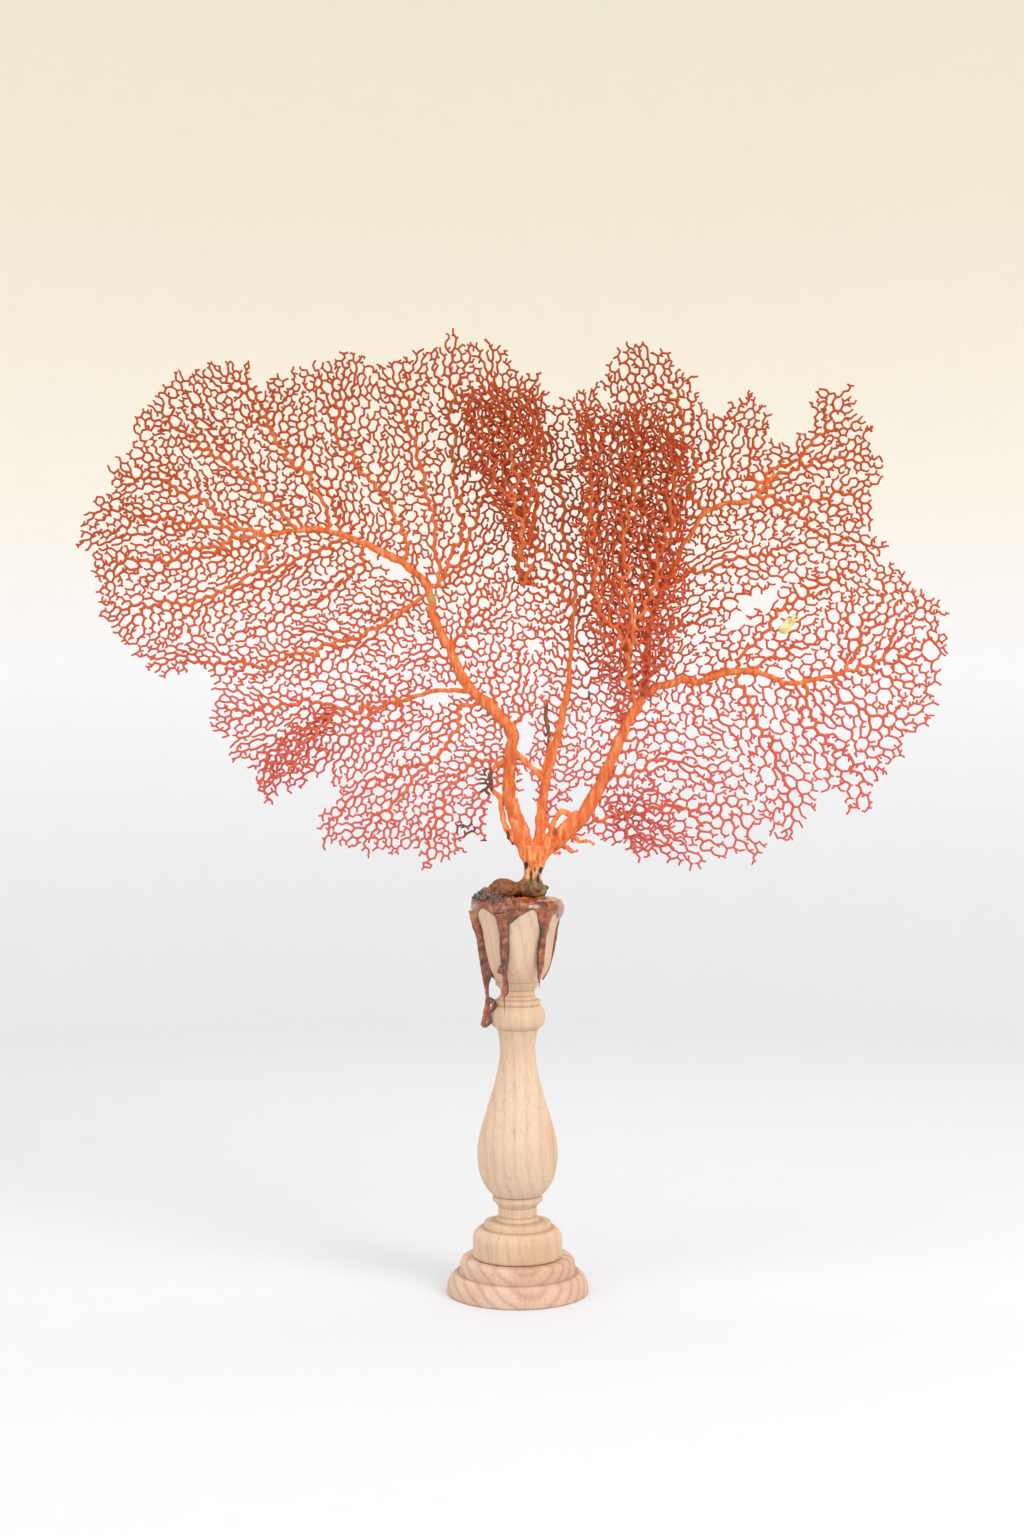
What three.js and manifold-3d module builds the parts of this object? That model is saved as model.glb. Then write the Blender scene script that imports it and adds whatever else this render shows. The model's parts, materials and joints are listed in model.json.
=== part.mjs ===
// A dried sea fan glued upright into a turned wooden candlestick on a round plinth.
// Millimetres, +Z up. The origin is the centre of the plinth's flat underside, and the
// fan spreads along X with its front facing -Y.

import * as THREE from 'three';
import { mergeVertices } from 'three/addons/utils/BufferGeometryUtils.js';
import Module from 'manifold-3d';

const wasm = await Module();
wasm.setup();

// ---------------------------------------------------------------- driving dimensions

const GAP = 0.3; // clearance between pieces that touch
const LATHE_SIDES = 20;

const PLINTH = { foot: 39.7, step: 33, stepZ: 11.3, tier: 32.4, top: 30, height: 19.5 };

const STICK = {
  bottom: PLINTH.height + GAP,
  foot: 25,
  footTop: 30.2,
  collar: 18.7,
  collarZ: [36.2, 39],
  neck: 10.8,
  bulb: 22.6,
  bulbZ: [54.4, 147.2],
  torus: 15.7,
  torusZ: [147.4, 160.6],
  cupZ: 173.6,
  rim: 25.4,
  top: 218.5,
  socket: 11,
  socketZ: 193.5,
};

const RIM_ROUND = { z: 215.6, rise: 2.9, steps: 3 };
const GLUE = { film: 0.9, pool: 2.2, skirtZ: 208, plug: STICK.socket - GAP };

const TRUNK = { x: 9, foot: 5.6, throat: 8, bottom: 224, top: 249 };
const HOLDFAST = { x: -3, z: 225, halfWidth: 18.5, halfDepth: 12, halfHeight: 5.7 };

const NET = { thickness: 2.4, cell: 30, bow: 16, span: 245, ripple: 4, rippleLength: 95 };
const SEAM = 0.6; // clearance between one bough's net and the next

// ---------------------------------------------------------------- solids and meshes

function toSolid(geometry) {
  geometry.deleteAttribute('normal');
  geometry.deleteAttribute('uv');
  const merged = mergeVertices(geometry, 1e-4);
  return new wasm.Manifold(new wasm.Mesh({
    numProp: 3,
    vertProperties: new Float32Array(merged.attributes.position.array),
    triVerts: new Uint32Array(merged.index.array),
  }));
}

function toGeometry(solid) {
  const { numProp, vertProperties, triVerts } = solid.getMesh();
  const points = [];
  for (let i = 0; i < vertProperties.length; i += numProp) {
    points.push(vertProperties[i], vertProperties[i + 1], vertProperties[i + 2]);
  }
  const geometry = new THREE.BufferGeometry();
  geometry.setAttribute('position', new THREE.Float32BufferAttribute(points, 3));
  geometry.setIndex([...triVerts]);
  geometry.computeVertexNormals();
  return geometry;
}

function union(solids) {
  return solids.reduce((whole, solid) => whole.add(solid));
}

function piece(name, geometry, material) {
  const mesh = new THREE.Mesh(geometry, material);
  mesh.name = name;
  return mesh;
}

// Turned profile of [radius, height] points, spun about the Z axis.
function turned(profile) {
  const points = profile.map(([radius, z]) => new THREE.Vector2(radius, z));
  return new THREE.LatheGeometry(points, LATHE_SIDES).rotateX(Math.PI / 2);
}

// Points of a quarter or half round: an ellipse arc between two angles in degrees.
function round(centreR, centreZ, radiusR, radiusZ, from, to, steps) {
  const points = [];
  for (let i = 0; i <= steps; i += 1) {
    const angle = THREE.MathUtils.degToRad(from + ((to - from) * i) / steps);
    points.push([centreR + radiusR * Math.cos(angle), centreZ + radiusZ * Math.sin(angle)]);
  }
  return points;
}

// Points of a smooth turned curve through a few [radius, height] stations.
function swept(stations, steps) {
  const curve = new THREE.SplineCurve(stations.map(([r, z]) => new THREE.Vector2(r, z)));
  return curve.getPoints(steps).map((point) => [point.x, point.y]);
}

// ---------------------------------------------------------------- wooden stand

const beech = new THREE.MeshStandardMaterial({ color: 0xe4c6a5, roughness: 0.75, metalness: 0 });
const pinkBeech = new THREE.MeshStandardMaterial({ color: 0xd9b49c, roughness: 0.8, metalness: 0 });

function makePlinth() {
  const { foot, step, stepZ, tier, top, height } = PLINTH;
  return turned([
    [0, 0],
    [foot - 0.6, 0],
    ...round(step, 0.6, foot - step, stepZ - 0.6, 0, 90, 5),
    [tier, stepZ],
    ...round(top, stepZ + 2.2, tier - top, height - stepZ - 2.2, 0, 90, 3),
    [0, height],
  ]);
}

// Outer surface of the cup, from its waist to the start of the rim.
function cupWall() {
  return swept([
    [12.3, STICK.cupZ],
    [17.6, STICK.cupZ + 7.6],
    [20.4, STICK.cupZ + 22.7],
    [21.6, STICK.cupZ + 30],
    [STICK.rim - 0.5, STICK.cupZ + 39.4],
  ], 7);
}

function makeCandlestick() {
  const { bottom, foot, footTop, collar, collarZ, neck, bulb, bulbZ, torus, torusZ } = STICK;
  return turned([
    [0, bottom],
    [foot - 0.6, bottom],
    [foot, bottom + 0.6],
    [foot, footTop],
    ...round(collar + 0.4, footTop, foot - collar - 0.4, collarZ[0] - footTop, 20, 90, 3),
    [collar, collarZ[0]],
    [collar, collarZ[1]],
    [neck + 1.6, collarZ[1] + 1],
    [neck, collarZ[1] + 3.5],
    [neck, collarZ[1] + 9],
    ...round(12.2, 52, 2, 2.1, -80, 80, 3),
    ...swept([
      [14, bulbZ[0]],
      [20, bulbZ[0] + 8],
      [bulb, bulbZ[0] + 24],
      [19.2, bulbZ[0] + 41],
      [12.4, bulbZ[0] + 64],
      [9.9, bulbZ[0] + 81],
      [11.6, bulbZ[1]],
    ], 10),
    ...round(12.2, (torusZ[0] + torusZ[1]) / 2, torus - 12.2, 6.5, -85, 85, 4),
    [12.9, torusZ[1] + 0.2],
    [12.9, torusZ[1] + 2.5],
    ...round(12.6, 167.4, 3.3, 3.9, 250, 110, 3),
    [12.4, STICK.cupZ - 2],
    ...cupWall(),
    ...round(STICK.rim - 3, RIM_ROUND.z, 3, RIM_ROUND.rise, 0, 90, RIM_ROUND.steps),
    [STICK.socket + 0.4, STICK.top],
    [STICK.socket, STICK.top - 0.6],
    [STICK.socket, STICK.socketZ],
    [0, STICK.socketZ],
  ]);
}

// ---------------------------------------------------------------- tubes that taper

const TUBE_SIDES = 6;

// A tube along a smooth curve whose radius runs evenly through the given list.
function taperedTube(route, radii, stepLength = 15) {
  const curve = new THREE.CatmullRomCurve3(route.map((point) => new THREE.Vector3(...point)));
  const steps = Math.max(3, Math.round(curve.getLength() / stepLength));
  const ring = new THREE.Shape();
  for (let i = 0; i < TUBE_SIDES; i += 1) {
    const angle = (2 * Math.PI * i) / TUBE_SIDES;
    const place = [Math.cos(angle), Math.sin(angle)];
    if (i === 0) ring.moveTo(...place);
    else ring.lineTo(...place);
  }
  ring.closePath();
  const tube = new THREE.ExtrudeGeometry(ring, { steps, extrudePath: curve, curveSegments: 1 });
  const centres = curve.getSpacedPoints(steps);
  const radiusAt = (t) => {
    const along = t * (radii.length - 1);
    const before = Math.min(Math.floor(along), radii.length - 2);
    return THREE.MathUtils.lerp(radii[before], radii[before + 1], along - before);
  };
  const position = tube.attributes.position;
  const point = new THREE.Vector3();
  for (let i = 0; i < position.count; i += 1) {
    point.fromBufferAttribute(position, i);
    let nearest = 0;
    centres.forEach((centre, k) => {
      if (centre.distanceTo(point) < centres[nearest].distanceTo(point)) nearest = k;
    });
    point.sub(centres[nearest]).multiplyScalar(radiusAt(nearest / steps)).add(centres[nearest]);
    position.setXYZ(i, point.x, point.y, point.z);
  }
  return toSolid(tube);
}

// ---------------------------------------------------------------- trunk and glue

const bark = new THREE.MeshStandardMaterial({ color: 0xe8763a, roughness: 0.7, metalness: 0 });
const resin = new THREE.MeshStandardMaterial({ color: 0x6e3318, roughness: 0.15, metalness: 0 });

function holdfastLump(extra) {
  const { x, z, halfWidth, halfDepth, halfHeight } = HOLDFAST;
  const lump = new THREE.SphereGeometry(1, 12, 7);
  lump.scale(halfWidth + extra, halfDepth + extra, halfHeight + extra);
  return toSolid(lump.translate(x, 0, z));
}

function trunkSolid(extra) {
  const { x, foot, throat, bottom, top } = TRUNK;
  const stem = taperedTube(
    [[x - 2, 0, bottom], [x, 0, bottom + 10], [x + 0.5, 0, top]],
    [foot + 3 + extra, foot + extra, throat + extra],
    6,
  );
  return stem.add(holdfastLump(extra));
}

// One run of glue down the cup: a thin tube with a blob at its end.
function drip(route, radii, blob) {
  const end = route[route.length - 1];
  const drop = new THREE.SphereGeometry(blob, 7, 5);
  drop.scale(1, 1, 1.4);
  drop.translate(...end);
  return taperedTube(route, radii, 12).add(toSolid(drop));
}

// The room that the wooden cup takes, its socket filled, with a clearance all round.
function cupRoom() {
  const { rim, top, cupZ, socketZ } = STICK;
  return toSolid(turned([
    [0, socketZ - 1],
    [12.3 + GAP, cupZ - 0.5],
    ...cupWall().map(([radius, z]) => [radius + GAP, z]),
    ...round(rim - 3, RIM_ROUND.z, 3 + GAP, RIM_ROUND.rise + GAP, 0, 90, RIM_ROUND.steps),
    [0, top + GAP],
  ]));
}

function makeGlue() {
  const { film, pool, skirtZ, plug } = GLUE;
  const { rim, top, socketZ } = STICK;
  const coat = toSolid(turned([
    [0, skirtZ],
    [23.5, skirtZ],
    [rim + GAP + film, skirtZ + 5.5],
    ...round(rim - 3, RIM_ROUND.z, 3 + GAP + film, RIM_ROUND.rise + GAP + pool, 0, 80, RIM_ROUND.steps),
    [0, top + GAP + pool],
  ]));
  const runs = [
    drip([[-24, -8, 214], [-22.6, -7.6, 204], [-20.6, -7, 190], [-18.4, -7, 170], [-18.5, -7, 150]],
      [1.6, 1.5, 1.2, 1.4, 2], 2.4),
    drip([[-8, -24.2, 214], [-8, -22.2, 204], [-7.6, -20.8, 190], [-6.8, -19.4, 178], [-7, -19, 170]],
      [3.2, 2.4, 2.2, 1.2, 1.4], 2),
    drip([[14, -21.4, 214], [13.4, -19.4, 204], [12.3, -18.6, 190], [13, -18, 178]],
      [3, 1.6, 1.4, 1], 1.2),
    drip([[24, 8, 214], [22.4, 7.4, 204], [20.4, 7, 190], [16.4, 6.4, 177]],
      [1.2, 0.9, 0.8, 0.7], 1),
  ];
  const bubbles = [[-15, -8, 221, 5.5], [-19, 2, 220, 4.5], [-9, -14, 220, 4]];
  const lumps = bubbles.map(([x, y, z, radius]) => {
    const lump = new THREE.SphereGeometry(radius, 8, 5);
    lump.scale(1, 1, 0.8);
    return toSolid(lump.translate(x, y, z));
  });
  const core = toSolid(turned([
    [0, socketZ + GAP],
    [plug, socketZ + GAP],
    [plug, top + GAP + 1],
    [0, top + GAP + 1],
  ]));
  const outside = union([coat, ...runs, ...lumps]).subtract(cupRoom());
  return toGeometry(outside.add(core).subtract(trunkSolid(GAP)));
}

// ---------------------------------------------------------------- fan of twigs

// How far the net stands back from the plane Y = 0: bowed at its sides, rippled across.
function setBack(x, z) {
  const bowed = NET.bow * (x / NET.span) ** 2 - NET.bow / 4;
  const rippled = Math.sin((x + 0.4 * z) / NET.rippleLength * Math.PI);
  const risen = THREE.MathUtils.clamp((z - TRUNK.top) / 60, 0, 1);
  return risen * (bowed + NET.ripple * rippled);
}

function onNet([x, z], ahead) {
  return [x, setBack(x, z) - ahead, z];
}

// A straight prism through the fan's whole depth, over an outline in the XZ plane.
function prism(outline) {
  const shape = new THREE.Shape(outline.map(([x, z]) => new THREE.Vector2(x, z)));
  const depth = 6 * NET.bow;
  const block = new THREE.ExtrudeGeometry(shape, { depth, bevelEnabled: false, steps: 1 });
  return toSolid(block.rotateX(Math.PI / 2).translate(0, depth / 2, 0));
}

// The outline pushed outwards by a clearance, corner by corner.
function grown(outline, clearance) {
  const turn = Math.sign(THREE.ShapeUtils.area(outline.map(([x, z]) => ({ x, y: z }))));
  const count = outline.length;
  return outline.map((here, i) => {
    const before = outline[(i + count - 1) % count];
    const after = outline[(i + 1) % count];
    const along = new THREE.Vector2(after[0] - before[0], after[1] - before[1]).normalize();
    return [here[0] + turn * along.y * clearance, here[1] - turn * along.x * clearance];
  });
}

// A thin bent sheet, as thick as the twigs stand, that reaches the tips of a bough's net.
function netSheet(outline, ahead) {
  const xs = outline.map((point) => point[0]);
  const zs = outline.map((point) => point[1]);
  const [left, right, low, high] = [Math.min(...xs), Math.max(...xs), Math.min(...zs), Math.max(...zs)];
  const [width, height] = [right - left + 4, high - low + 4];
  const across = Math.ceil(width / NET.cell);
  const up = Math.ceil(height / NET.cell);
  const slab = new THREE.BoxGeometry(width, NET.thickness, height, across, 1, up);
  slab.translate((left + right) / 2, 0, (low + high) / 2);
  const position = slab.attributes.position;
  for (let i = 0; i < position.count; i += 1) {
    const lift = setBack(position.getX(i), position.getZ(i)) - ahead;
    position.setY(i, position.getY(i) + lift);
  }
  return toSolid(slab).intersect(prism(outline));
}

// Each bough of the fan, in the order in which one is cut clear of those before it:
// its outline to the tips of its twigs, the run of its limb, the limb's radii from fork
// to end, and how far it stands ahead of the main net.
const BOUGHS = {
  left_limb: {
    outline: [
      [-5, 296], [3, 320], [6, 360], [14, 420], [16, 500], [2, 513], [-12, 534], [-26, 530],
      [-38, 536], [-50, 530], [-65, 525], [-63, 480], [-56, 430], [-48, 392], [-36, 352], [-20, 330],
    ],
    limb: [[4, 254], [-1, 275], [-2, 305], [-12, 322], [-31, 344], [-40, 362], [-47, 386]],
    radii: [4.4, 3.6, 3.3, 2.4, 2],
    ahead: 0,
  },
  upper_left_bough: {
    outline: [
      [-53, 404], [-60, 440], [-66, 485], [-68, 522], [-80, 521], [-94, 526], [-106, 524],
      [-121, 519], [-137, 518], [-143, 506], [-150, 522], [-165, 523], [-185, 521], [-197, 514],
      [-206, 500], [-219, 487], [-221, 474], [-231, 463], [-234, 450], [-243, 440], [-247, 428],
      [-222, 431], [-190, 428], [-146, 422], [-114, 425], [-88, 416], [-60, 404],
    ],
    limb: [[-51, 396], [-60, 405], [-88, 420], [-113, 428], [-146, 425], [-190, 431], [-222, 436]],
    radii: [1.9, 1.5, 1.1, 0.8],
    ahead: 0,
  },
  left_bough: {
    outline: [
      [-54, 396], [-66, 401], [-90, 413], [-114, 422], [-146, 419], [-190, 425], [-222, 428],
      [-246, 424], [-244, 410],
      [-238, 396], [-239, 383], [-230, 368], [-215, 354], [-199, 343], [-183, 347], [-170, 341],
      [-110, 337], [-60, 335], [-30, 340], [-38, 354], [-49, 388],
    ],
    limb: [[-50, 390], [-66, 381], [-104, 359], [-146, 350], [-185, 352]],
    radii: [1.4, 1.1, 0.7],
    ahead: 0,
  },
  lower_left_bough: {
    outline: [
      [-27, 334], [-60, 331], [-110, 334], [-171, 338], [-174, 325], [-170, 312], [-160, 298],
      [-147, 290], [-150, 277], [-140, 271], [-130, 276], [-120, 285], [-106, 290], [-103, 278],
      [-112, 265], [-112, 252], [-96, 249], [-85, 242], [-65, 245], [-52, 239], [-42, 236],
      [-36, 245], [-29, 241], [-28, 256], [-17, 247], [-18, 268], [-10, 280], [-7, 292], [-7, 308],
      [-14, 320],
    ],
    limb: [[-26, 333], [-57, 329], [-97, 320], [-135, 298]],
    radii: [1.8, 1.2, 0.8],
    ahead: 0,
  },
  centre_limb: {
    outline: [
      [13, 262], [4, 290], [6, 312], [9, 350], [17, 420], [19, 500], [28, 507], [43, 504],
      [52, 494], [58, 450], [62, 400], [64, 360], [60, 325], [50, 303], [36, 281], [25, 266],
    ],
    limb: [[12, 254], [15, 275], [18, 297], [24, 322], [30, 358], [31, 385], [25, 437], [12, 480]],
    radii: [3.4, 2.6, 1.6, 1.1, 0.8],
    ahead: 0,
  },
  right_limb: {
    outline: [
      [27, 251], [47, 253], [60, 246], [62, 230], [69, 245], [80, 241], [100, 235], [111, 242],
      [122, 246], [130, 238], [139, 246], [136, 262], [128, 280], [122, 300], [111, 322],
      [90, 333], [72, 328], [60, 306], [48, 282], [36, 264],
    ],
    limb: [[15, 248], [28, 257], [39, 271], [48, 292], [59, 316], [69, 330]],
    radii: [5, 4, 3.4, 3],
    ahead: 0,
  },
  right_bough: {
    outline: [
      [74, 332], [92, 336], [114, 325], [126, 300], [132, 280], [140, 262], [143, 248], [158, 255],
      [167, 276], [178, 277], [187, 264], [197, 262], [199, 283], [211, 292], [224, 306],
      [235, 321], [241, 336], [239, 350], [243, 358], [243, 386], [229, 394], [213, 407],
      [175, 402], [150, 396], [130, 380], [105, 361], [82, 346],
    ],
    limb: [[73, 335], [86, 341], [100, 342], [126, 347], [150, 340], [190, 349], [225, 358]],
    radii: [2.2, 1.6, 1.2, 0.8],
    ahead: 0,
  },
  upper_right_bough: {
    outline: [
      [71, 338], [84, 350], [104, 364], [128, 383], [148, 399], [175, 405], [211, 410], [209, 420],
      [200, 430], [206, 448], [206, 468], [199, 483], [192, 497], [182, 510], [171, 508],
      [162, 498], [160, 484], [153, 477], [146, 475], [140, 486], [136, 500], [127, 506],
      [119, 500], [115, 493], [105, 495], [100, 507], [96, 518], [83, 526], [65, 534], [53, 526],
      [46, 511], [55, 496], [61, 450], [65, 400], [68, 360],
    ],
    limb: [[71, 336], [75, 366], [83, 398], [96, 423], [112, 438], [134, 448], [159, 470], [179, 498]],
    radii: [2.6, 2, 1.5, 1, 0.7],
    ahead: 0,
  },
  front_fold: {
    outline: [
      [30, 490], [45, 500], [58, 494], [72, 501], [90, 490], [98, 470], [99, 420], [98, 385],
      [92, 355], [80, 335], [62, 314], [54, 312], [46, 325], [40, 345], [36, 375], [29, 420],
    ],
    limb: [[66, 330], [62, 364], [58, 400], [60, 440], [66, 480]],
    radii: [1.5, 1, 0.8],
    ahead: 13,
  },
  top_fold: {
    outline: [
      [-38, 500], [-22, 512], [-6, 506], [8, 511], [19, 498], [20, 455], [15, 415], [8, 380],
      [3, 384], [-8, 412], [-20, 440], [-34, 465],
    ],
    limb: [[5, 388], [4, 420], [-2, 455], [-8, 490]],
    radii: [1.2, 0.9, 0.8],
    ahead: 11,
  },
  left_fold: {
    outline: [
      [-92, 334], [-94, 315], [-109, 297], [-126, 282], [-143, 272], [-152, 283], [-148, 297],
      [-133, 311], [-118, 326], [-104, 337],
    ],
    limb: [[-95, 328], [-115, 310], [-140, 286]],
    radii: [1.1, 0.8],
    ahead: 10,
  },
  lower_right_fold: {
    outline: [
      [44, 268], [54, 281], [76, 290], [91, 286], [97, 264], [92, 247], [78, 237], [63, 232],
      [60, 246], [49, 252],
    ],
    limb: [[46, 267], [62, 268], [84, 264]],
    radii: [1.4, 1, 0.8],
    ahead: 12,
  },
};

// Twigs look redder or browner from bough to bough.
const boughColours = [0xc4552f, 0xb8501f, 0xc0532b, 0xcb5a48, 0xc85a3c];

function makeBoughs() {
  const boughs = Object.entries(BOUGHS).map(([name, { outline, limb, radii, ahead }]) => {
    const route = limb.map((point) => onNet(point, ahead));
    const clearTube = taperedTube(route, radii.map((radius) => radius + SEAM));
    return { name, outline, ahead, tube: taperedTube(route, radii), clearTube };
  });
  return boughs.map(({ name, outline, ahead, tube, clearTube }, i) => {
    let net = netSheet(outline, ahead);
    let limb = tube;
    boughs.forEach((other, k) => {
      if (k < i && other.ahead === ahead) net = net.subtract(prism(grown(other.outline, SEAM)));
      if (k < i) limb = limb.subtract(other.clearTube);
      if (other.clearTube !== clearTube) net = net.subtract(other.clearTube);
    });
    const solid = net.add(limb).subtract(trunkSolid(SEAM));
    const color = boughColours[i % boughColours.length];
    const skin = new THREE.MeshStandardMaterial({ color, roughness: 0.7, metalness: 0 });
    return piece(name, toGeometry(solid), skin);
  });
}

const horn = new THREE.MeshStandardMaterial({ color: 0xd9cf95, roughness: 0.6, metalness: 0 });

// A thin pale chip caught in the twigs of the right bough.
function makeChip() {
  const outline = new THREE.Shape();
  outline.moveTo(0, 0);
  outline.lineTo(9, 12);
  outline.lineTo(11.5, 5.5);
  outline.closePath();
  const chip = new THREE.ExtrudeGeometry(outline, { depth: 0.8, bevelEnabled: false, steps: 1 });
  chip.rotateX(Math.PI / 2);
  return chip.translate(146, setBack(150, 375) - NET.thickness / 2 - GAP, 368);
}

// ---------------------------------------------------------------- the whole object

const seaFan = new THREE.Group();
seaFan.add(piece('plinth', makePlinth(), pinkBeech));
seaFan.add(piece('candlestick', makeCandlestick(), beech));
seaFan.add(piece('glue', makeGlue(), resin));
seaFan.add(piece('trunk', toGeometry(trunkSolid(0)), bark));
seaFan.add(...makeBoughs());
seaFan.add(piece('pale_chip', makeChip(), horn));

export default seaFan;
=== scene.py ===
# %% [markdown]
# # A sea fan in a candlestick
# A dried sea fan is a flat tree of coral: a short trunk, a few thick limbs and thousands of
# fine twigs that run side by side and grow into a net. This one is glued into the cup of a
# turned wooden candlestick. The lesson loads the measured solids first, because they say
# where each piece lies, and then grows, turns and pours the real surfaces around them.

# %% Load the measured solids
import heapq
import json
import math

import bmesh
import bpy
import numpy as np
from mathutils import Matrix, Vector
from mathutils.bvhtree import BVHTree
from mathutils.geometry import delaunay_2d_cdt
from mathutils.kdtree import KDTree
from mathutils.noise import noise as soft_noise

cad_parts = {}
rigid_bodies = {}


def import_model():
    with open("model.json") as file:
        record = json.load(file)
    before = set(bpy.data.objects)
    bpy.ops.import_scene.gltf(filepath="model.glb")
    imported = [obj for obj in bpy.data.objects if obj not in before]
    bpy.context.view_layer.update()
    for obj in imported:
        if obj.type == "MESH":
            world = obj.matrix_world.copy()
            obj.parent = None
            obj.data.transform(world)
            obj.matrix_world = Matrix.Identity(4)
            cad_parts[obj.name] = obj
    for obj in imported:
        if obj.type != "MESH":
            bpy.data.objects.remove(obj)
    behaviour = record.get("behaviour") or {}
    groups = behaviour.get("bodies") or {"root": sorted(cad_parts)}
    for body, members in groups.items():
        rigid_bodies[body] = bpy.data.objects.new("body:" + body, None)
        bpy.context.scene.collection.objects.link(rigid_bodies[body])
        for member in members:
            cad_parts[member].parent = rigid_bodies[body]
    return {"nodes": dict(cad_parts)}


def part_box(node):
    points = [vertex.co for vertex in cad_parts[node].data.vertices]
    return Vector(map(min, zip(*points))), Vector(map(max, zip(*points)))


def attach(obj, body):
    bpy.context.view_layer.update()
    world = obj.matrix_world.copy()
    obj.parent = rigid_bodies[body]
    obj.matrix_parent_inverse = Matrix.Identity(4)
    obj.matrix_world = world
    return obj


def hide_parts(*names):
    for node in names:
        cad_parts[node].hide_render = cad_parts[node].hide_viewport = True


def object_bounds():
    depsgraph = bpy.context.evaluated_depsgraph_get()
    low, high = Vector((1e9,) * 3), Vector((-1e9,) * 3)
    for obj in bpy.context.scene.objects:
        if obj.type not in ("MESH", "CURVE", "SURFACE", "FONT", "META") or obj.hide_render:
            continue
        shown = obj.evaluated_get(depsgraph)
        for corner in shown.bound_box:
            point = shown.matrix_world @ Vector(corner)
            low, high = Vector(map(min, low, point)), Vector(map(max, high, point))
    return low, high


for stray in list(bpy.data.objects):
    bpy.data.objects.remove(stray)
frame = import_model()
cad_low, cad_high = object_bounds()
SPAN = cad_high[0] - cad_low[0]
print("the solids span", round(SPAN, 4), "m, and stand", round(cad_high[2], 4), "m tall")

# %% [markdown]
# Places on the fan are given in small units: 490 of them cross the whole fan, so at this
# size one unit is a millimetre. If the solids were made larger, everything would follow.

# %% One unit of length
UNITS_ACROSS = 490
MM = SPAN / UNITS_ACROSS
print("one unit is", round(MM * 1000, 3), "mm")


def size_of(node):
    low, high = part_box(node)
    return Vector(low), Vector(high)


# %% [markdown]
# ## Writing a shader as sums
# A material is easier to read as arithmetic than as a web of boxes. This class wraps a
# socket: adding, multiplying or subtracting two of them places the Math node by itself, and
# `node` places any other node. Colours are mixed by `blend`, since a Math node would turn
# them grey.

# %% Shader arithmetic
class Wire:
    """A socket in a material, or a plain number, that can be used in sums."""

    def __init__(self, sheet, socket):
        self.sheet = sheet
        self.socket = socket

    def math(self, operation, other=None, flip=False):
        pair = [self.socket, other.socket if isinstance(other, Wire) else other]
        if flip:
            pair.reverse()
        values = {i: value for i, value in enumerate(pair) if value is not None}
        return self.sheet.node("ShaderNodeMath", {"operation": operation}, values)

    def __add__(self, other):
        return self.math("ADD", other)

    def __radd__(self, other):
        return self.math("ADD", other)

    def __sub__(self, other):
        return self.math("SUBTRACT", other)

    def __rsub__(self, other):
        return self.math("SUBTRACT", other, flip=True)

    def __mul__(self, other):
        return self.math("MULTIPLY", other)

    def __rmul__(self, other):
        return self.math("MULTIPLY", other)

    def __pow__(self, other):
        return self.math("POWER", other)

    def clip(self):
        return self.sheet.node("ShaderNodeClamp", {}, {"Value": self.socket})

    def over(self, low, high):
        """0 below low, 1 above high, and a smooth rise between."""
        settings = {"interpolation_type": "SMOOTHSTEP"}
        sockets = {"Value": self.socket, "From Min": low, "From Max": high}
        return self.sheet.node("ShaderNodeMapRange", settings, sockets)


# %% [markdown]
# A sheet is one material. Its methods place the few kinds of node that this model needs:
# noise (called grain), round cells, colour ramps, mixes and bumps.

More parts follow.
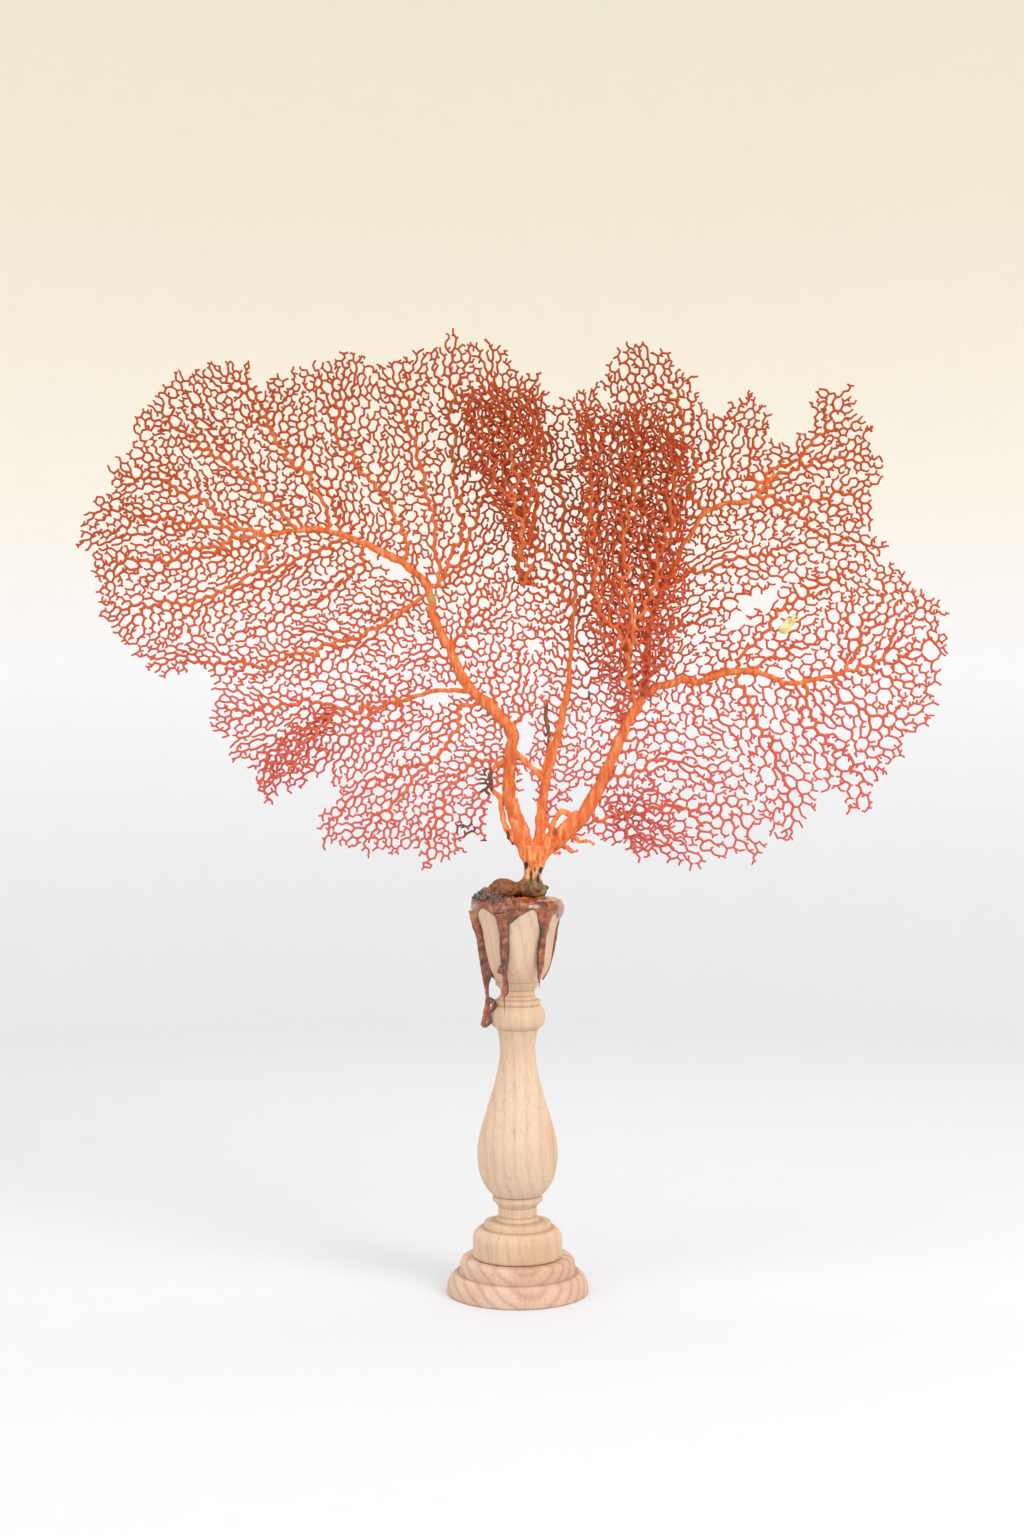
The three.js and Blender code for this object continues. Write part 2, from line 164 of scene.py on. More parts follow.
# %% A material as a sheet
class Sheet:
    """A material being written."""

    def __init__(self, name):
        self.material = bpy.data.materials.new(name)
        self.material.use_nodes = True
        self.tree = self.material.node_tree
        self.skin = self.tree.nodes["Principled BSDF"]

    def node(self, kind, settings, sockets, output=0):
        made = self.tree.nodes.new(kind)
        for name, value in settings.items():
            if name == "stops":
                self.stops(made.color_ramp, value)
            else:
                setattr(made, name, value)
        for name, value in sockets.items():
            self.plug(made.inputs[name], value)
        return Wire(self, made.outputs[output])

    def stops(self, ramp, colours):
        while len(ramp.elements) < len(colours):
            ramp.elements.new(0.5)
        for element, (place, colour) in zip(ramp.elements, colours):
            element.position = place
            element.color = (*colour, 1)

    def plug(self, socket, value):
        if isinstance(value, Wire):
            value = value.socket
        if isinstance(value, bpy.types.NodeSocket):
            self.tree.links.new(value, socket)
        else:
            socket.default_value = value

    def place(self):
        return self.node("ShaderNodeTexCoord", {}, {}, "Object")

    def parts(self, vector):
        split = self.node("ShaderNodeSeparateXYZ", {}, {"Vector": vector})
        outputs = split.socket.node.outputs
        return [Wire(self, outputs[axis]) for axis in ("X", "Y", "Z")]

    def grain(self, vector, scale, detail=3.0, roughness=0.55, stretch=(1, 1, 1)):
        shaped = self.node("ShaderNodeVectorMath", {"operation": "MULTIPLY"}, {0: vector, 1: stretch})
        sockets = {"Vector": shaped, "Scale": scale, "Detail": detail, "Roughness": roughness}
        return self.node("ShaderNodeTexNoise", {}, sockets, "Fac")

    def cells(self, vector, scale):
        sockets = {"Vector": vector, "Scale": scale}
        return self.node("ShaderNodeTexVoronoi", {}, sockets, "Distance")

    def ramp(self, amount, colours):
        return self.node("ShaderNodeValToRGB", {"stops": colours}, {"Fac": amount}, "Color")

    def blend(self, amount, first, second, mode="MIX"):
        made = self.tree.nodes.new("ShaderNodeMix")
        made.data_type = "RGBA"
        made.blend_type = mode
        for index, value in ((0, amount), (6, first), (7, second)):
            if isinstance(value, tuple):
                value = (*value, 1)
            self.plug(made.inputs[index], value)
        return Wire(self, made.outputs[2])

    def bump(self, height, strength, distance):
        sockets = {"Height": height, "Strength": strength, "Distance": distance}
        return self.node("ShaderNodeBump", {}, sockets, "Normal")

    def finish(self, **sockets):
        for name, value in sockets.items():
            self.plug(self.skin.inputs[name.replace("_", " ")], value)
        print("material", self.material.name, "has", len(self.tree.nodes), "nodes")
        return self.material


def linear(red, green, blue):
    """A colour read as 0-255 screen values, as the linear light that shaders use."""
    def one(value):
        value = value / 255
        return value / 12.92 if value <= 0.04045 else ((value + 0.055) / 1.055) ** 2.4
    return (one(red), one(green), one(blue))


# %% [markdown]
# ## Camera, floor and light
# The eye is level, a little above the candlestick's cup, about a metre away. The floor runs
# out and curves up into a round wall, so that no edge shows from any side. One large soft
# lamp stands to the right, as a window would, with weaker ones to fill the shadows.

# %% Camera
EYE_HEIGHT = 293 * MM
EYE_DISTANCE = 1081 * MM
EYE_SIDE = -3.1 * MM
SENSOR = 36
FOCAL_LENGTH = 45.2

lens = bpy.data.cameras.new("eye")
lens.sensor_fit = "VERTICAL"
lens.sensor_height = SENSOR
lens.sensor_width = SENSOR
lens.lens = FOCAL_LENGTH
lens.clip_start = 0.01
lens.clip_end = 30
eye = bpy.data.objects.new("eye", lens)
eye.location = (EYE_SIDE, -EYE_DISTANCE, EYE_HEIGHT)
eye.rotation_euler = (math.pi / 2, 0, 0)
bpy.context.collection.objects.link(eye)
bpy.context.scene.camera = eye
bpy.context.scene.view_settings.view_transform = "Standard"
print("lens", round(lens.lens, 1), "mm, eye at", [round(v, 3) for v in eye.location])


# %% [markdown]
# ## Small tools for meshes
# Three helpers serve the whole lesson. One makes an object from points and faces, one turns
# faces outward so that light falls on them properly, and one spins an outline about Z.

# %% Turning a profile
def mesh_object(name, points, faces):
    data = bpy.data.meshes.new(name)
    data.from_pydata(points, [], faces)
    data.update()
    made = bpy.data.objects.new(name, data)
    bpy.context.collection.objects.link(made)
    data.polygons.foreach_set("use_smooth", [True] * len(data.polygons))
    return made


def face_outward(made, weld=0):
    """Joins points closer than weld, then turns every face outward."""
    repair = bmesh.new()
    repair.from_mesh(made.data)
    if weld:
        bmesh.ops.remove_doubles(repair, verts=repair.verts, dist=weld)
    bmesh.ops.recalc_face_normals(repair, faces=repair.faces)
    repair.to_mesh(made.data)
    repair.free()
    return made


def lathe(name, profile, sides):
    """Spins (radius, height) points about Z. A point on the axis closes the end."""
    points, rings = [], []
    for radius, height in profile:
        if radius < 1e-9:
            rings.append([len(points)])
            points.append((0, 0, height))
            continue
        rings.append(list(range(len(points), len(points) + sides)))
        for i in range(sides):
            angle = 2 * math.pi * i / sides
            points.append((radius * math.cos(angle), radius * math.sin(angle), height))
    faces = []
    for low, high in zip(rings, rings[1:]):
        for i in range(sides):
            k = (i + 1) % sides
            corners = [low[i % len(low)], low[k % len(low)], high[k % len(high)], high[i % len(high)]]
            faces.append(tuple(dict.fromkeys(corners)))
    return mesh_object(name, points, [face for face in faces if len(face) > 2])


# %% [markdown]
# The floor is one outline spun once: flat, then a quarter circle, then a wall. Its paper is
# cream high up and turns to a cool white lower down.

# %% Floor and round wall
ROOM = 1.9
COVE = 0.8
WALL_TOP = 1.65
cove_arc = [
    (ROOM - COVE + COVE * math.sin(turn), COVE - COVE * math.cos(turn))
    for turn in np.linspace(0, math.pi / 2, 24)
]
floor = lathe("floor", [(0, 0), (0.5, 0), *cove_arc, (ROOM, WALL_TOP)], 96)
paper = Sheet("pale_paper")
_, _, up = paper.parts(paper.place())
sky = paper.ramp(up.over(0.0, 1.3), [
    (0.0, linear(222, 224, 230)),
    (0.25, linear(238, 239, 244)),
    (0.6, linear(240, 234, 222)),
    (1.0, linear(232, 226, 206)),
])
mottle = paper.grain(paper.place(), 40) * 0.03 + 0.985
floor.data.materials.append(paper.finish(
    Base_Color=paper.blend(1.0, sky, paper.ramp(mottle, [(0, (0, 0, 0)), (1, (1, 1, 1))]), "MULTIPLY"),
    Roughness=0.95,
    Specular_IOR_Level=0.1,
))


# %% [markdown]
# Big lamps give soft edges to shadows. Each is a disc aimed at the middle of the fan.

# %% Lamps
def lamp(name, place, aim, size, watts, colour):
    data = bpy.data.lights.new(name, "AREA")
    data.shape = "DISK"
    data.size = size
    data.energy = watts
    data.color = colour
    made = bpy.data.objects.new(name, data)
    made.location = place
    made.rotation_euler = (Vector(aim) - Vector(place)).to_track_quat("-Z", "Y").to_euler()
    made.visible_camera = False
    bpy.context.collection.objects.link(made)
    return made


CENTRE = (0, 0, 0.32)
lamp("window", (1.15, -1.05, 1.25), CENTRE, 0.9, 13, (1.0, 0.97, 0.93))
lamp("fill", (-1.3, -1.1, 0.8), CENTRE, 1.2, 5.5, (0.93, 0.96, 1.0))
lamp("overhead", (0, -0.1, 1.9), (0, 0, 0), 1.6, 9, (1.0, 1.0, 1.0))
DAYLIGHT = 0.9
world = bpy.data.worlds.new("studio")
world.use_nodes = True
background = world.node_tree.nodes["Background"]
background.inputs["Color"].default_value = (1, 1, 1, 1)
background.inputs["Strength"].default_value = DAYLIGHT
bpy.context.scene.world = world

# %% [markdown]
# ## The turned wood
# The stick and its plinth were cut on a lathe from bare beech. The solids hold their outline
# in short straight steps. Reading that outline back from a solid, smoothing every run
# between sharp corners and spinning it with many more sides gives the round surface
# without measuring anything twice.

# %% Reading a turned outline
SHARP = math.radians(24)


def outline_of(node):
    """The (radius, height) points of a turned solid, in order from its underside."""
    data = frame["nodes"][node].data
    spots = {}
    for vertex in data.vertices:
        x, y, z = vertex.co
        if abs(y) < 1e-6 and x > -1e-6:
            spots[vertex.index] = (round(max(x, 0), 6), round(z, 6))
    near = {}
    for edge in data.edges:
        first, second = (spots.get(i) for i in edge.vertices)
        if first and second and first != second:
            near.setdefault(first, set()).add(second)
            near.setdefault(second, set()).add(first)
    start = min((p for p in near if p[0] == 0), key=lambda p: p[1])
    walk = [start]
    while True:
        onward = [p for p in near[walk[-1]] if p not in walk and (p[0] > 0 or len(walk) > 2)]
        if not onward:
            return walk
        walk.append(max(onward))


def curve_point(path, i, t):
    """A point on the smooth curve through a path, t of the way from point i to the next."""
    p0, p1, p2, p3 = path[max(i - 1, 0)], path[i], path[i + 1], path[min(i + 2, len(path) - 1)]
    return 0.5 * (2 * p1 + (p2 - p0) * t + (2 * p0 - 5 * p1 + 4 * p2 - p3) * t ** 2
                  + (3 * p1 - p0 - 3 * p2 + p3) * t ** 3)


def smoothed(points, fine):
    """Rounds each run of the outline between sharp corners, and keeps those corners."""
    path = [Vector((r, z)) for r, z in points]
    corners = [0]
    for i in range(1, len(path) - 1):
        before, after = path[i] - path[i - 1], path[i + 1] - path[i]
        if before.angle(after) > SHARP:
            corners.append(i)
    corners.append(len(path) - 1)
    result = []
    for first, last in zip(corners, corners[1:]):
        run = path[first:last + 1]
        for i in range(len(run) - 1):
            steps = max(1, round((run[i + 1] - run[i]).length / fine))
            for k in range(steps):
                point = curve_point(run, i, k / steps)
                result.append((max(point.x, 0), point.y))
    return [*result, tuple(path[-1])]


# %% [markdown]
# The inside corners of turned wood each get a thin dark line of painted shade, so their heights
# are read from the outline too.

# %% Inside corners
def creases(node):
    """Heights of the inside corners of a turned outline, where a line of painted shade goes."""
    path = [Vector(point) for point in outline_of(node)]
    top = max(range(len(path)), key=lambda i: path[i].y)
    heights = []
    for before, here, after in zip(path[:top], path[1:top], path[2:top + 1]):
        first, second = here - before, after - here
        if first.cross(second) < 0 and first.angle(second) > SHARP:
            heights.append(here.y)
    return heights


for node in ("plinth", "candlestick"):
    print(node, "outline has", len(outline_of(node)), "points and", len(creases(node)), "creases")

# %% [markdown]
# ## Bare beech
# Beech has a fine straight grain with short darker flecks where the saw crosses its rays.
# On a turned piece the grain runs up the stick, and the growth rings, which are cones and
# sheets inside the block, show as long ovals on the bulb. So the rings are taken from the
# distance to a tilted line far to one side, and the flecks are noise stretched along Z.

# %% Wood
RING_GAP = 0.0062
RING_WANDER = 0.006


def beech(name, pale, warm, grain_and_shade_dark, tilt, seat, streaks, painted_shade_heights):
    sheet = Sheet(name)
    place = sheet.place()
    shift = {"Vector": place, "Rotation": tilt, "Location": seat}
    turned = sheet.node("ShaderNodeMapping", {"vector_type": "POINT"}, shift)
    wander = sheet.grain(turned, 18, 2, stretch=(1, 1, 0.25)) - 0.5
    x, y, _ = sheet.parts(turned)
    far = ((x * x + y * y) ** 0.5) + wander * RING_WANDER
    rings = sheet.node("ShaderNodeMath", {"operation": "SINE"}, {0: far * (2 * math.pi / RING_GAP)})
    rings = rings * 0.5 + 0.5
    fibre = sheet.grain(turned, 900, 3, 0.6, stretch=(1, 1, 0.045))
    fleck = sheet.grain(turned, 620, 2, 0.5, stretch=(1, 1, 0.12)).over(0.62, 0.72)
    cloud = sheet.grain(place, 26, 2, stretch=(1, 1, 0.5)).over(0.3, 0.75)
    tone = sheet.blend(cloud, pale, warm)
    tone = sheet.blend((rings ** 3) * streaks, tone, grain_and_shade_dark)
    tone = sheet.blend((fibre.over(0.42, 0.7)) * 0.22, tone, grain_and_shade_dark)
    tone = sheet.blend(fleck * 0.3, tone, grain_and_shade_dark)
    _, _, up = sheet.parts(place)
    # Painted shade: a thin dark line at each inside corner of the outline.
    for height in painted_shade_heights:
        away = ((up - height) * (up - height)) ** 0.5
        tone = sheet.blend((1 - away.over(0.15 * MM, 0.6 * MM)) * 0.5, tone, grain_and_shade_dark)
    relief = fibre * 0.6 + rings * 0.25 + fleck * -0.5
    return sheet.finish(
        Base_Color=tone,
        Roughness=0.62 + fibre * 0.18,
        Specular_IOR_Level=0.28,
        Normal=sheet.bump(relief, 0.35, 0.0003),
    )


stick_wood = beech("stick_beech", linear(225, 198, 173), linear(214, 180, 149), linear(170, 124, 92),
                   (math.radians(4), math.radians(3), 0), (0.021, 0.016, 0), 0.16, creases("candlestick"))
plinth_wood = beech("plinth_beech", linear(224, 194, 173), linear(210, 171, 147), linear(160, 112, 88),
                    (math.radians(62), math.radians(20), 0), (0.0, 0.05, 0.05), 0.34, creases("plinth"))

# %% [markdown]
# Now both outlines are spun. Every piece of the model ends the same way: it gets a material,
# it is attached to the root body, and the solid it stands for is hidden.

# %% Turn the stick and the plinth
ROUND_SIDES = 112


def hand_over(made, node, material):
    """Gives a finished piece its material, attaches it to the root body and hides the solid it stands
    for.
    """
    made.data.materials.clear()
    made.data.materials.append(material)
    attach(made, "root")
    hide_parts(node)
    print(made.name, "has", len(made.data.polygons), "faces")


for node, name, material, slot, fine in (
    ("plinth", "turned_plinth", plinth_wood, "plinth_wood", 0.0012),
    ("candlestick", "turned_candlestick", stick_wood, "stick_wood", 0.0015),
):
    hand_over(lathe(name, smoothed(outline_of(node), fine), ROUND_SIDES), node, material)

# %% [markdown]
# ## Where the fan lies
# Each solid of the fan is a thin bent sheet that reaches the tips of its twigs. Looking
# through them along Y gives two maps in the XZ plane: where there is net, and how far back
# it stands. Everything that grows below is drawn flat, in (x, z), and laid on that surface.

# %% Maps of the sheets
LAYERS = {
    "main": ["left_limb", "upper_left_bough", "left_bough", "lower_left_bough", "centre_limb",
             "right_limb", "right_bough", "upper_right_bough"],
    "front_fold": ["front_fold"],
    "top_fold": ["top_fold"],
    "left_fold": ["left_fold"],
    "lower_right_fold": ["lower_right_fold"],
}


SPARE = 4
WIDEST_MARGIN = 14


class Field:
    """A map over the XZ plane, one value every unit, read smoothly between."""

    def __init__(self, nodes):
        points, faces, owners = self.joined(nodes)
        tree = BVHTree.FromPolygons(points, faces)
        lows, highs = zip(*(size_of(node) for node in nodes))
        self.x0 = math.floor(min(v.x for v in lows) / MM) - SPARE
        self.z0 = math.floor(min(v.z for v in lows) / MM) - SPARE
        wide = math.ceil(max(v.x for v in highs) / MM) + SPARE - self.x0
        tall = math.ceil(max(v.z for v in highs) / MM) + SPARE - self.z0
        self.inside = np.zeros((wide, tall), bool)
        self.depth = np.full((wide, tall), np.nan)
        self.owner = np.full((wide, tall), -1)
        for i in range(wide):
            for k in range(tall):
                x, z = (self.x0 + i) * MM, (self.z0 + k) * MM
                front, _, face, _ = tree.ray_cast((x, -1, z), (0, 1, 0))
                if front is not None:
                    back = tree.ray_cast((x, 1, z), (0, -1, 0))[0]
                    self.inside[i, k] = True
                    self.depth[i, k] = (front.y + back.y) / 2 / MM
                    self.owner[i, k] = owners[face]
        for _ in range(5):
            for axis, shift in ((0, 1), (1, 1), (0, -1), (1, -1)):
                self.owner = np.where(self.owner < 0, np.roll(self.owner, shift, axis), self.owner)
        self.fill_depth()
        for _ in range(2):
            self.inside = self.spread(self.inside)
        for _ in range(2):
            self.inside = ~self.spread(~self.inside)
        self.margin = np.zeros(self.inside.shape)
        core = self.inside
        for _ in range(WIDEST_MARGIN):
            self.margin += core
            core = ~self.spread(~core)

    def joined(self, nodes):
        points, faces, owners = [], [], []
        for number, node in enumerate(nodes):
            data = frame["nodes"][node].data
            start = len(points)
            points += [vertex.co.copy() for vertex in data.vertices]
            faces += [[start + i for i in polygon.vertices] for polygon in data.polygons]
            owners += [number] * len(data.polygons)
        return points, faces, owners

    def spread(self, mask):
        wider = mask.copy()
        for axis in (0, 1):
            for shift in (1, -1):
                wider |= np.roll(mask, shift, axis)
        return wider

    def fill_depth(self):
        """Carries the depth past the edge, then smooths it."""
        depth = self.depth
        while np.isnan(depth).any():
            stack = np.stack([np.roll(depth, s, a) for a in (0, 1) for s in (1, -1)])
            known = ~np.isnan(stack)
            total = np.where(known, stack, 0).sum(0) / np.maximum(known.sum(0), 1)
            depth = np.where(np.isnan(depth) & known.any(0), total, depth)
        for _ in range(12):
            padded = np.pad(depth, 1, mode="edge")
            depth = (padded[:-2, 1:-1] + padded[2:, 1:-1] + padded[1:-1, :-2] + padded[1:-1, 2:]) / 4
        self.depth = depth

    def read(self, table, points):
        i = np.clip(np.round(points[:, 0] - self.x0).astype(int), 0, table.shape[0] - 1)
        k = np.clip(np.round(points[:, 1] - self.z0).astype(int), 0, table.shape[1] - 1)
        return table[i, k]

    def read_smooth(self, points):
        fx = np.clip(points[:, 0] - self.x0, 0, self.depth.shape[0] - 1.001)
        fz = np.clip(points[:, 1] - self.z0, 0, self.depth.shape[1] - 1.001)
        i, k = fx.astype(int), fz.astype(int)
        u, v = fx - i, fz - k
        d = self.depth
        return (d[i, k] * (1 - u) * (1 - v) + d[i + 1, k] * u * (1 - v)
                + d[i, k + 1] * (1 - u) * v + d[i + 1, k + 1] * u * v)


fields = {layer: Field(nodes) for layer, nodes in LAYERS.items()}
for layer, field in fields.items():
    print(layer, "net covers", int(field.inside.sum()), "square units")

# %% [markdown]
# ## The limbs and veins
# A sea fan grows from a few limbs. Their runs are chosen point by point, because
# they are what makes this fan this one: a thick left limb that bends over to the left, a
# right limb that forks low, and a thin one between. Veins are the next size down.

# %% The plan of the fan
BOUGHS = {
    "left_limb": {
        "limb": [(6, 250), (1, 262), (-3, 274), (-3, 286), (-2, 300), (-2, 312), (-9, 320), (-18, 329),
                 (-27, 338), (-32, 346), (-35, 354), (-37, 361), (-42, 368), (-46, 376), (-47, 387),
                 (-50, 394)],
        "radii": (4.3, 3.8, 3.6, 3.4, 3.3, 3.3, 3.0, 2.7, 2.5, 2.5, 2.3),
        "veins": [
            [(-34, 352), (-29, 375), (-28, 400), (-30, 435), (-35, 470), (-38, 505)],
            [(-2, 308), (1, 330), (1, 355), (-4, 385), (-9, 415), (-12, 455), (-15, 500)],
            [(-46, 378), (-42, 405), (-50, 440), (-58, 470), (-62, 500)],
            [(-12, 323), (-14, 350), (-16, 385), (-20, 420), (-24, 460)],
        ],
    },
    "upper_left_bough": {
        "limb": [(-49, 392), (-54, 399), (-61, 405), (-69, 410), (-88, 419), (-102, 425), (-114, 428),
                 (-128, 427), (-146, 424), (-168, 429), (-190, 431), (-215, 436)],
        "radii": (2.3, 2.1, 1.9, 1.7, 1.45, 1.25, 1.15, 1.0, 0.9, 0.8),
        "veins": [
            [(-58, 403), (-68, 430), (-83, 452), (-97, 472), (-105, 500)],
            [(-88, 419), (-104, 440), (-122, 460), (-138, 482), (-150, 505)],
            [(-114, 428), (-132, 440), (-155, 455), (-178, 472), (-200, 490)],
            [(-146, 424), (-170, 438), (-195, 450), (-222, 458)],
        ],
    },
    "left_bough": {
        "limb": [(-49, 391), (-64, 381), (-84, 368), (-106, 358), (-146, 349), (-180, 352)],
        "radii": (1.4, 1.2, 1.0, 0.9, 0.8),
        "veins": [
            [(-100, 424), (-121, 411), (-146, 400), (-170, 391), (-200, 385), (-230, 382)],
            [(-78, 414), (-100, 398), (-124, 384), (-150, 370), (-190, 358)],
            [(-36, 356), (-60, 352), (-90, 345), (-125, 343)],
            [(-146, 423), (-175, 415), (-205, 411), (-238, 405)],
        ],
    },
    "lower_left_bough": {
        "limb": [(-24, 335), (-42, 337), (-57, 334), (-77, 328), (-97, 324), (-121, 314), (-139, 298)],
        "radii": (1.5, 1.3, 1.1, 0.9, 0.8),
        "veins": [
            [(-20, 331), (-33, 324), (-38, 311), (-44, 299), (-58, 287), (-72, 273), (-85, 256)],
            [(-3, 296), (-20, 296), (-34, 288), (-42, 273), (-47, 252)],
            [(-44, 299), (-66, 291), (-86, 282), (-105, 268)],
            [(-77, 328), (-104, 331), (-130, 329), (-160, 322)],
            [(-9, 262), (-10, 272), (-15, 283), (-18, 268), (-17, 253)],
        ],
    },
    "centre_limb": {
        "limb": [(12, 252), (13, 265), (14, 276), (15, 284), (18, 297), (21, 309), (24, 322), (28, 340),
                 (30, 358), (31, 385), (25, 437), (12, 480)],
        "radii": (2.8, 2.6, 2.4, 1.7, 1.3, 1.1, 1.0, 0.9, 0.8),
        "veins": [
            [(24, 322), (37, 336), (48, 358), (55, 386), (58, 414), (57, 445), (52, 480)],
            [(31, 381), (17, 406), (3, 434), (-8, 458)],
            [(15, 284), (9, 292), (3, 298), (6, 312), (9, 332), (12, 360), (14, 400)],
            [(30, 358), (40, 385), (44, 415), (42, 450), (38, 485)],
        ],
    },
    "right_limb": {
        "limb": [(14, 247), (22, 252), (29, 259), (36, 266), (41, 275), (46, 284), (50, 294), (54, 303),
                 (59, 314), (64, 324), (70, 332)],
        "radii": (4.7, 4.4, 4.0, 3.6, 3.3, 3.1, 2.9, 2.8),
        "veins": [
            [(39, 271), (50, 281), (60, 288), (72, 294), (84, 301), (96, 311), (112, 320)],
            [(28, 257), (48, 265), (70, 271), (93, 273), (118, 268)],
            [(84, 301), (93, 286), (100, 269), (104, 250)],
            [(54, 303), (66, 309), (80, 318), (95, 328)],
            [(48, 265), (56, 256), (62, 244)],
        ],
    },
    "right_bough": {
        "limb": [(70, 332), (77, 339), (86, 341), (93, 344), (101, 342), (113, 346), (126, 348),
                 (138, 346), (151, 340), (170, 343), (192, 349), (225, 358)],
        "radii": (2.4, 2.2, 2.0, 1.8, 1.5, 1.2, 1.0, 0.8),
        "veins": [
            [(108, 345), (118, 356), (131, 365), (145, 376), (160, 392), (178, 399)],
            [(126, 348), (148, 357), (171, 364), (198, 373), (230, 382)],
            [(143, 344), (160, 325), (176, 308), (192, 286), (195, 270)],
            [(118, 347), (131, 330), (142, 308), (150, 286), (154, 262)],
            [(151, 340), (178, 332), (205, 320), (228, 316)],
        ],
    },
    "upper_right_bough": {
        "limb": [(69, 331), (73, 345), (74, 360), (77, 376), (82, 395), (87, 403), (91, 416), (98, 424),
                 (104, 434), (117, 440), (128, 441), (136, 448), (146, 460), (160, 470), (171, 484),
                 (179, 498)],
        "radii": (2.3, 2.1, 1.9, 1.7, 1.5, 1.4, 1.2, 1.0, 0.8),
        "veins": [
            [(128, 441), (153, 443), (176, 445), (203, 446)],
            [(91, 416), (92, 437), (96, 459), (95, 482), (87, 500), (78, 520)],
            [(82, 395), (103, 404), (125, 410), (150, 416), (175, 420), (200, 421)],
            [(96, 459), (109, 474), (124, 492)],
            [(76, 370), (97, 376), (120, 386), (148, 400)],
            [(78, 382), (72, 410), (71, 440), (70, 480), (66, 515)],
            [(150, 462), (167, 466), (185, 470), (203, 474)],
        ],
    },
    "front_fold": {
        "limb": [(66, 326), (63, 345), (60, 366), (58, 392), (60, 420), (63, 450), (66, 482)],
        "radii": (1.3, 1.1, 1.0, 0.9, 0.8),
        "veins": [
            [(61, 360), (72, 388), (80, 415), (86, 450), (85, 478)],
            [(62, 350), (50, 372), (43, 398), (40, 430), (42, 465)],
        ],
    },
    "top_fold": {
        "limb": [(6, 384), (5, 405), (2, 430), (-3, 460), (-8, 495)],
        "radii": (1.1, 1.0, 0.9, 0.8),
        "veins": [
            [(5, 405), (10, 430), (12, 460), (12, 492)],
            [(2, 430), (-10, 450), (-22, 475), (-30, 492)],
        ],
    },
    "left_fold": {
        "limb": [(-97, 326), (-115, 310), (-130, 294), (-143, 280)],
        "radii": (1.0, 0.9, 0.8),
        "veins": [],
    },
    "lower_right_fold": {
        "limb": [(47, 266), (60, 268), (73, 266), (88, 262)],
        "radii": (1.1, 0.9, 0.8),
        "veins": [[(60, 268), (66, 255), (70, 242)]],
    },
}
print("plan:", len(BOUGHS), "boughs and", sum(len(b["veins"]) for b in BOUGHS.values()), "veins")

# %% [markdown]
# ## Which way twigs run
# Twigs run outward beside the limb or vein next to them. The direction at any place is the
# sum of all nearby runs, each weaker with distance, plus a little of the direction straight
# out from the trunk. Cells of the net are then longer along that direction than across it.

# %% Follow a run
CURVE_STEPS = 24


def along(points, step):
    """Evenly spaced points on a smooth curve through the given ones."""
    path = [Vector(p) for p in points]
    fine = []
    for i in range(len(path) - 1):
        fine += [curve_point(path, i, k / CURVE_STEPS) for k in range(CURVE_STEPS)]
    fine.append(path[-1])
    fine = np.array(fine)
    length = np.concatenate([[0], np.cumsum(np.linalg.norm(np.diff(fine, axis=0), axis=1))])
    count = max(2, round(length[-1] / step) + 1)
    marks = np.linspace(0, length[-1], count)
    return np.stack([np.interp(marks, length, fine[:, axis]) for axis in range(fine.shape[1])], axis=1)


def spread_radii(radii, count):
    return np.interp(np.linspace(0, len(radii) - 1, count), range(len(radii)), radii)


def guides(layer):
    """Points and directions along every run of a layer."""
    spots, ways = [], []
    for name in LAYERS[layer]:
        for run in [BOUGHS[name]["limb"], *BOUGHS[name]["veins"]]:
            path = along(run, 4)
            way = np.gradient(path, axis=0)
            spots.append(path)
            ways.append(way / np.linalg.norm(way, axis=1)[:, None])
    return np.concatenate(spots), np.concatenate(ways)


TRUNK_TOP = np.array((10.0, 262.0))
VEIN_REACH = 17.0
OUTWARD_PULL = 0.6


def flow_at(points, spots, ways):
    """Unit directions of growth at many points."""
    flow = np.zeros_like(points)
    for part in np.array_split(np.arange(len(points)), max(1, len(points) // 2000)):
        apart = ((points[part][:, None, :] - spots[None, :, :]) ** 2).sum(2)
        weight = np.exp(-apart / (2 * VEIN_REACH ** 2))
        flow[part] = weight @ ways
    out = points - TRUNK_TOP
    flow += OUTWARD_PULL * out / np.linalg.norm(out, axis=1)[:, None]
    return flow / np.linalg.norm(flow, axis=1)[:, None]


# %% [markdown]
# ## Weaving the net
# The twigs of a grown fan meet their neighbours and fuse, so the fan is a net of long
# cells. The cells come first: a centre is put down for each, long way outward, with no two
# ovals overlapping. Joining every three neighbouring centres makes triangles, and a twig
# runs from the middle of each triangle to the middle of the next one.

# %% Cells and twigs between them
LONG = 3.3
PAST_EDGE = 9
DARTS = 1.1
BIN = 5.0


def scatter(field, spacing_at, flow_of, rng):
    """Cell centres all over a layer and a little past its edge."""
    wider = field.inside.copy()
    for _ in range(PAST_EDGE):
        wider = field.spread(wider)
    wide, tall = wider.shape
    points = rng.random((int(wider.sum() * DARTS), 2)) * (wide - 1, tall - 1) + (field.x0, field.z0)
    points = points[field.read(wider, points)]
    spacing = spacing_at(points)
    flow = flow_of(points)
    cells, kept = {}, []
    for (x, z), s, (fx, fz) in zip(points.tolist(), spacing.tolist(), flow.tolist()):
        ci, ck = int(x // BIN), int(z // BIN)
        span = math.ceil(LONG * s / BIN)
        crowded = any(
            (((px - x) * fx + (pz - z) * fz) / LONG) ** 2 + ((pz - z) * fx - (px - x) * fz) ** 2 < s * s
            for i in range(ci - span, ci + span + 1) for k in range(ck - span, ck + span + 1)
            for px, pz in cells.get((i, k), ())
        )
        if not crowded:
            cells.setdefault((ci, ck), []).append((x, z))
            kept.append((x, z))
    return kept


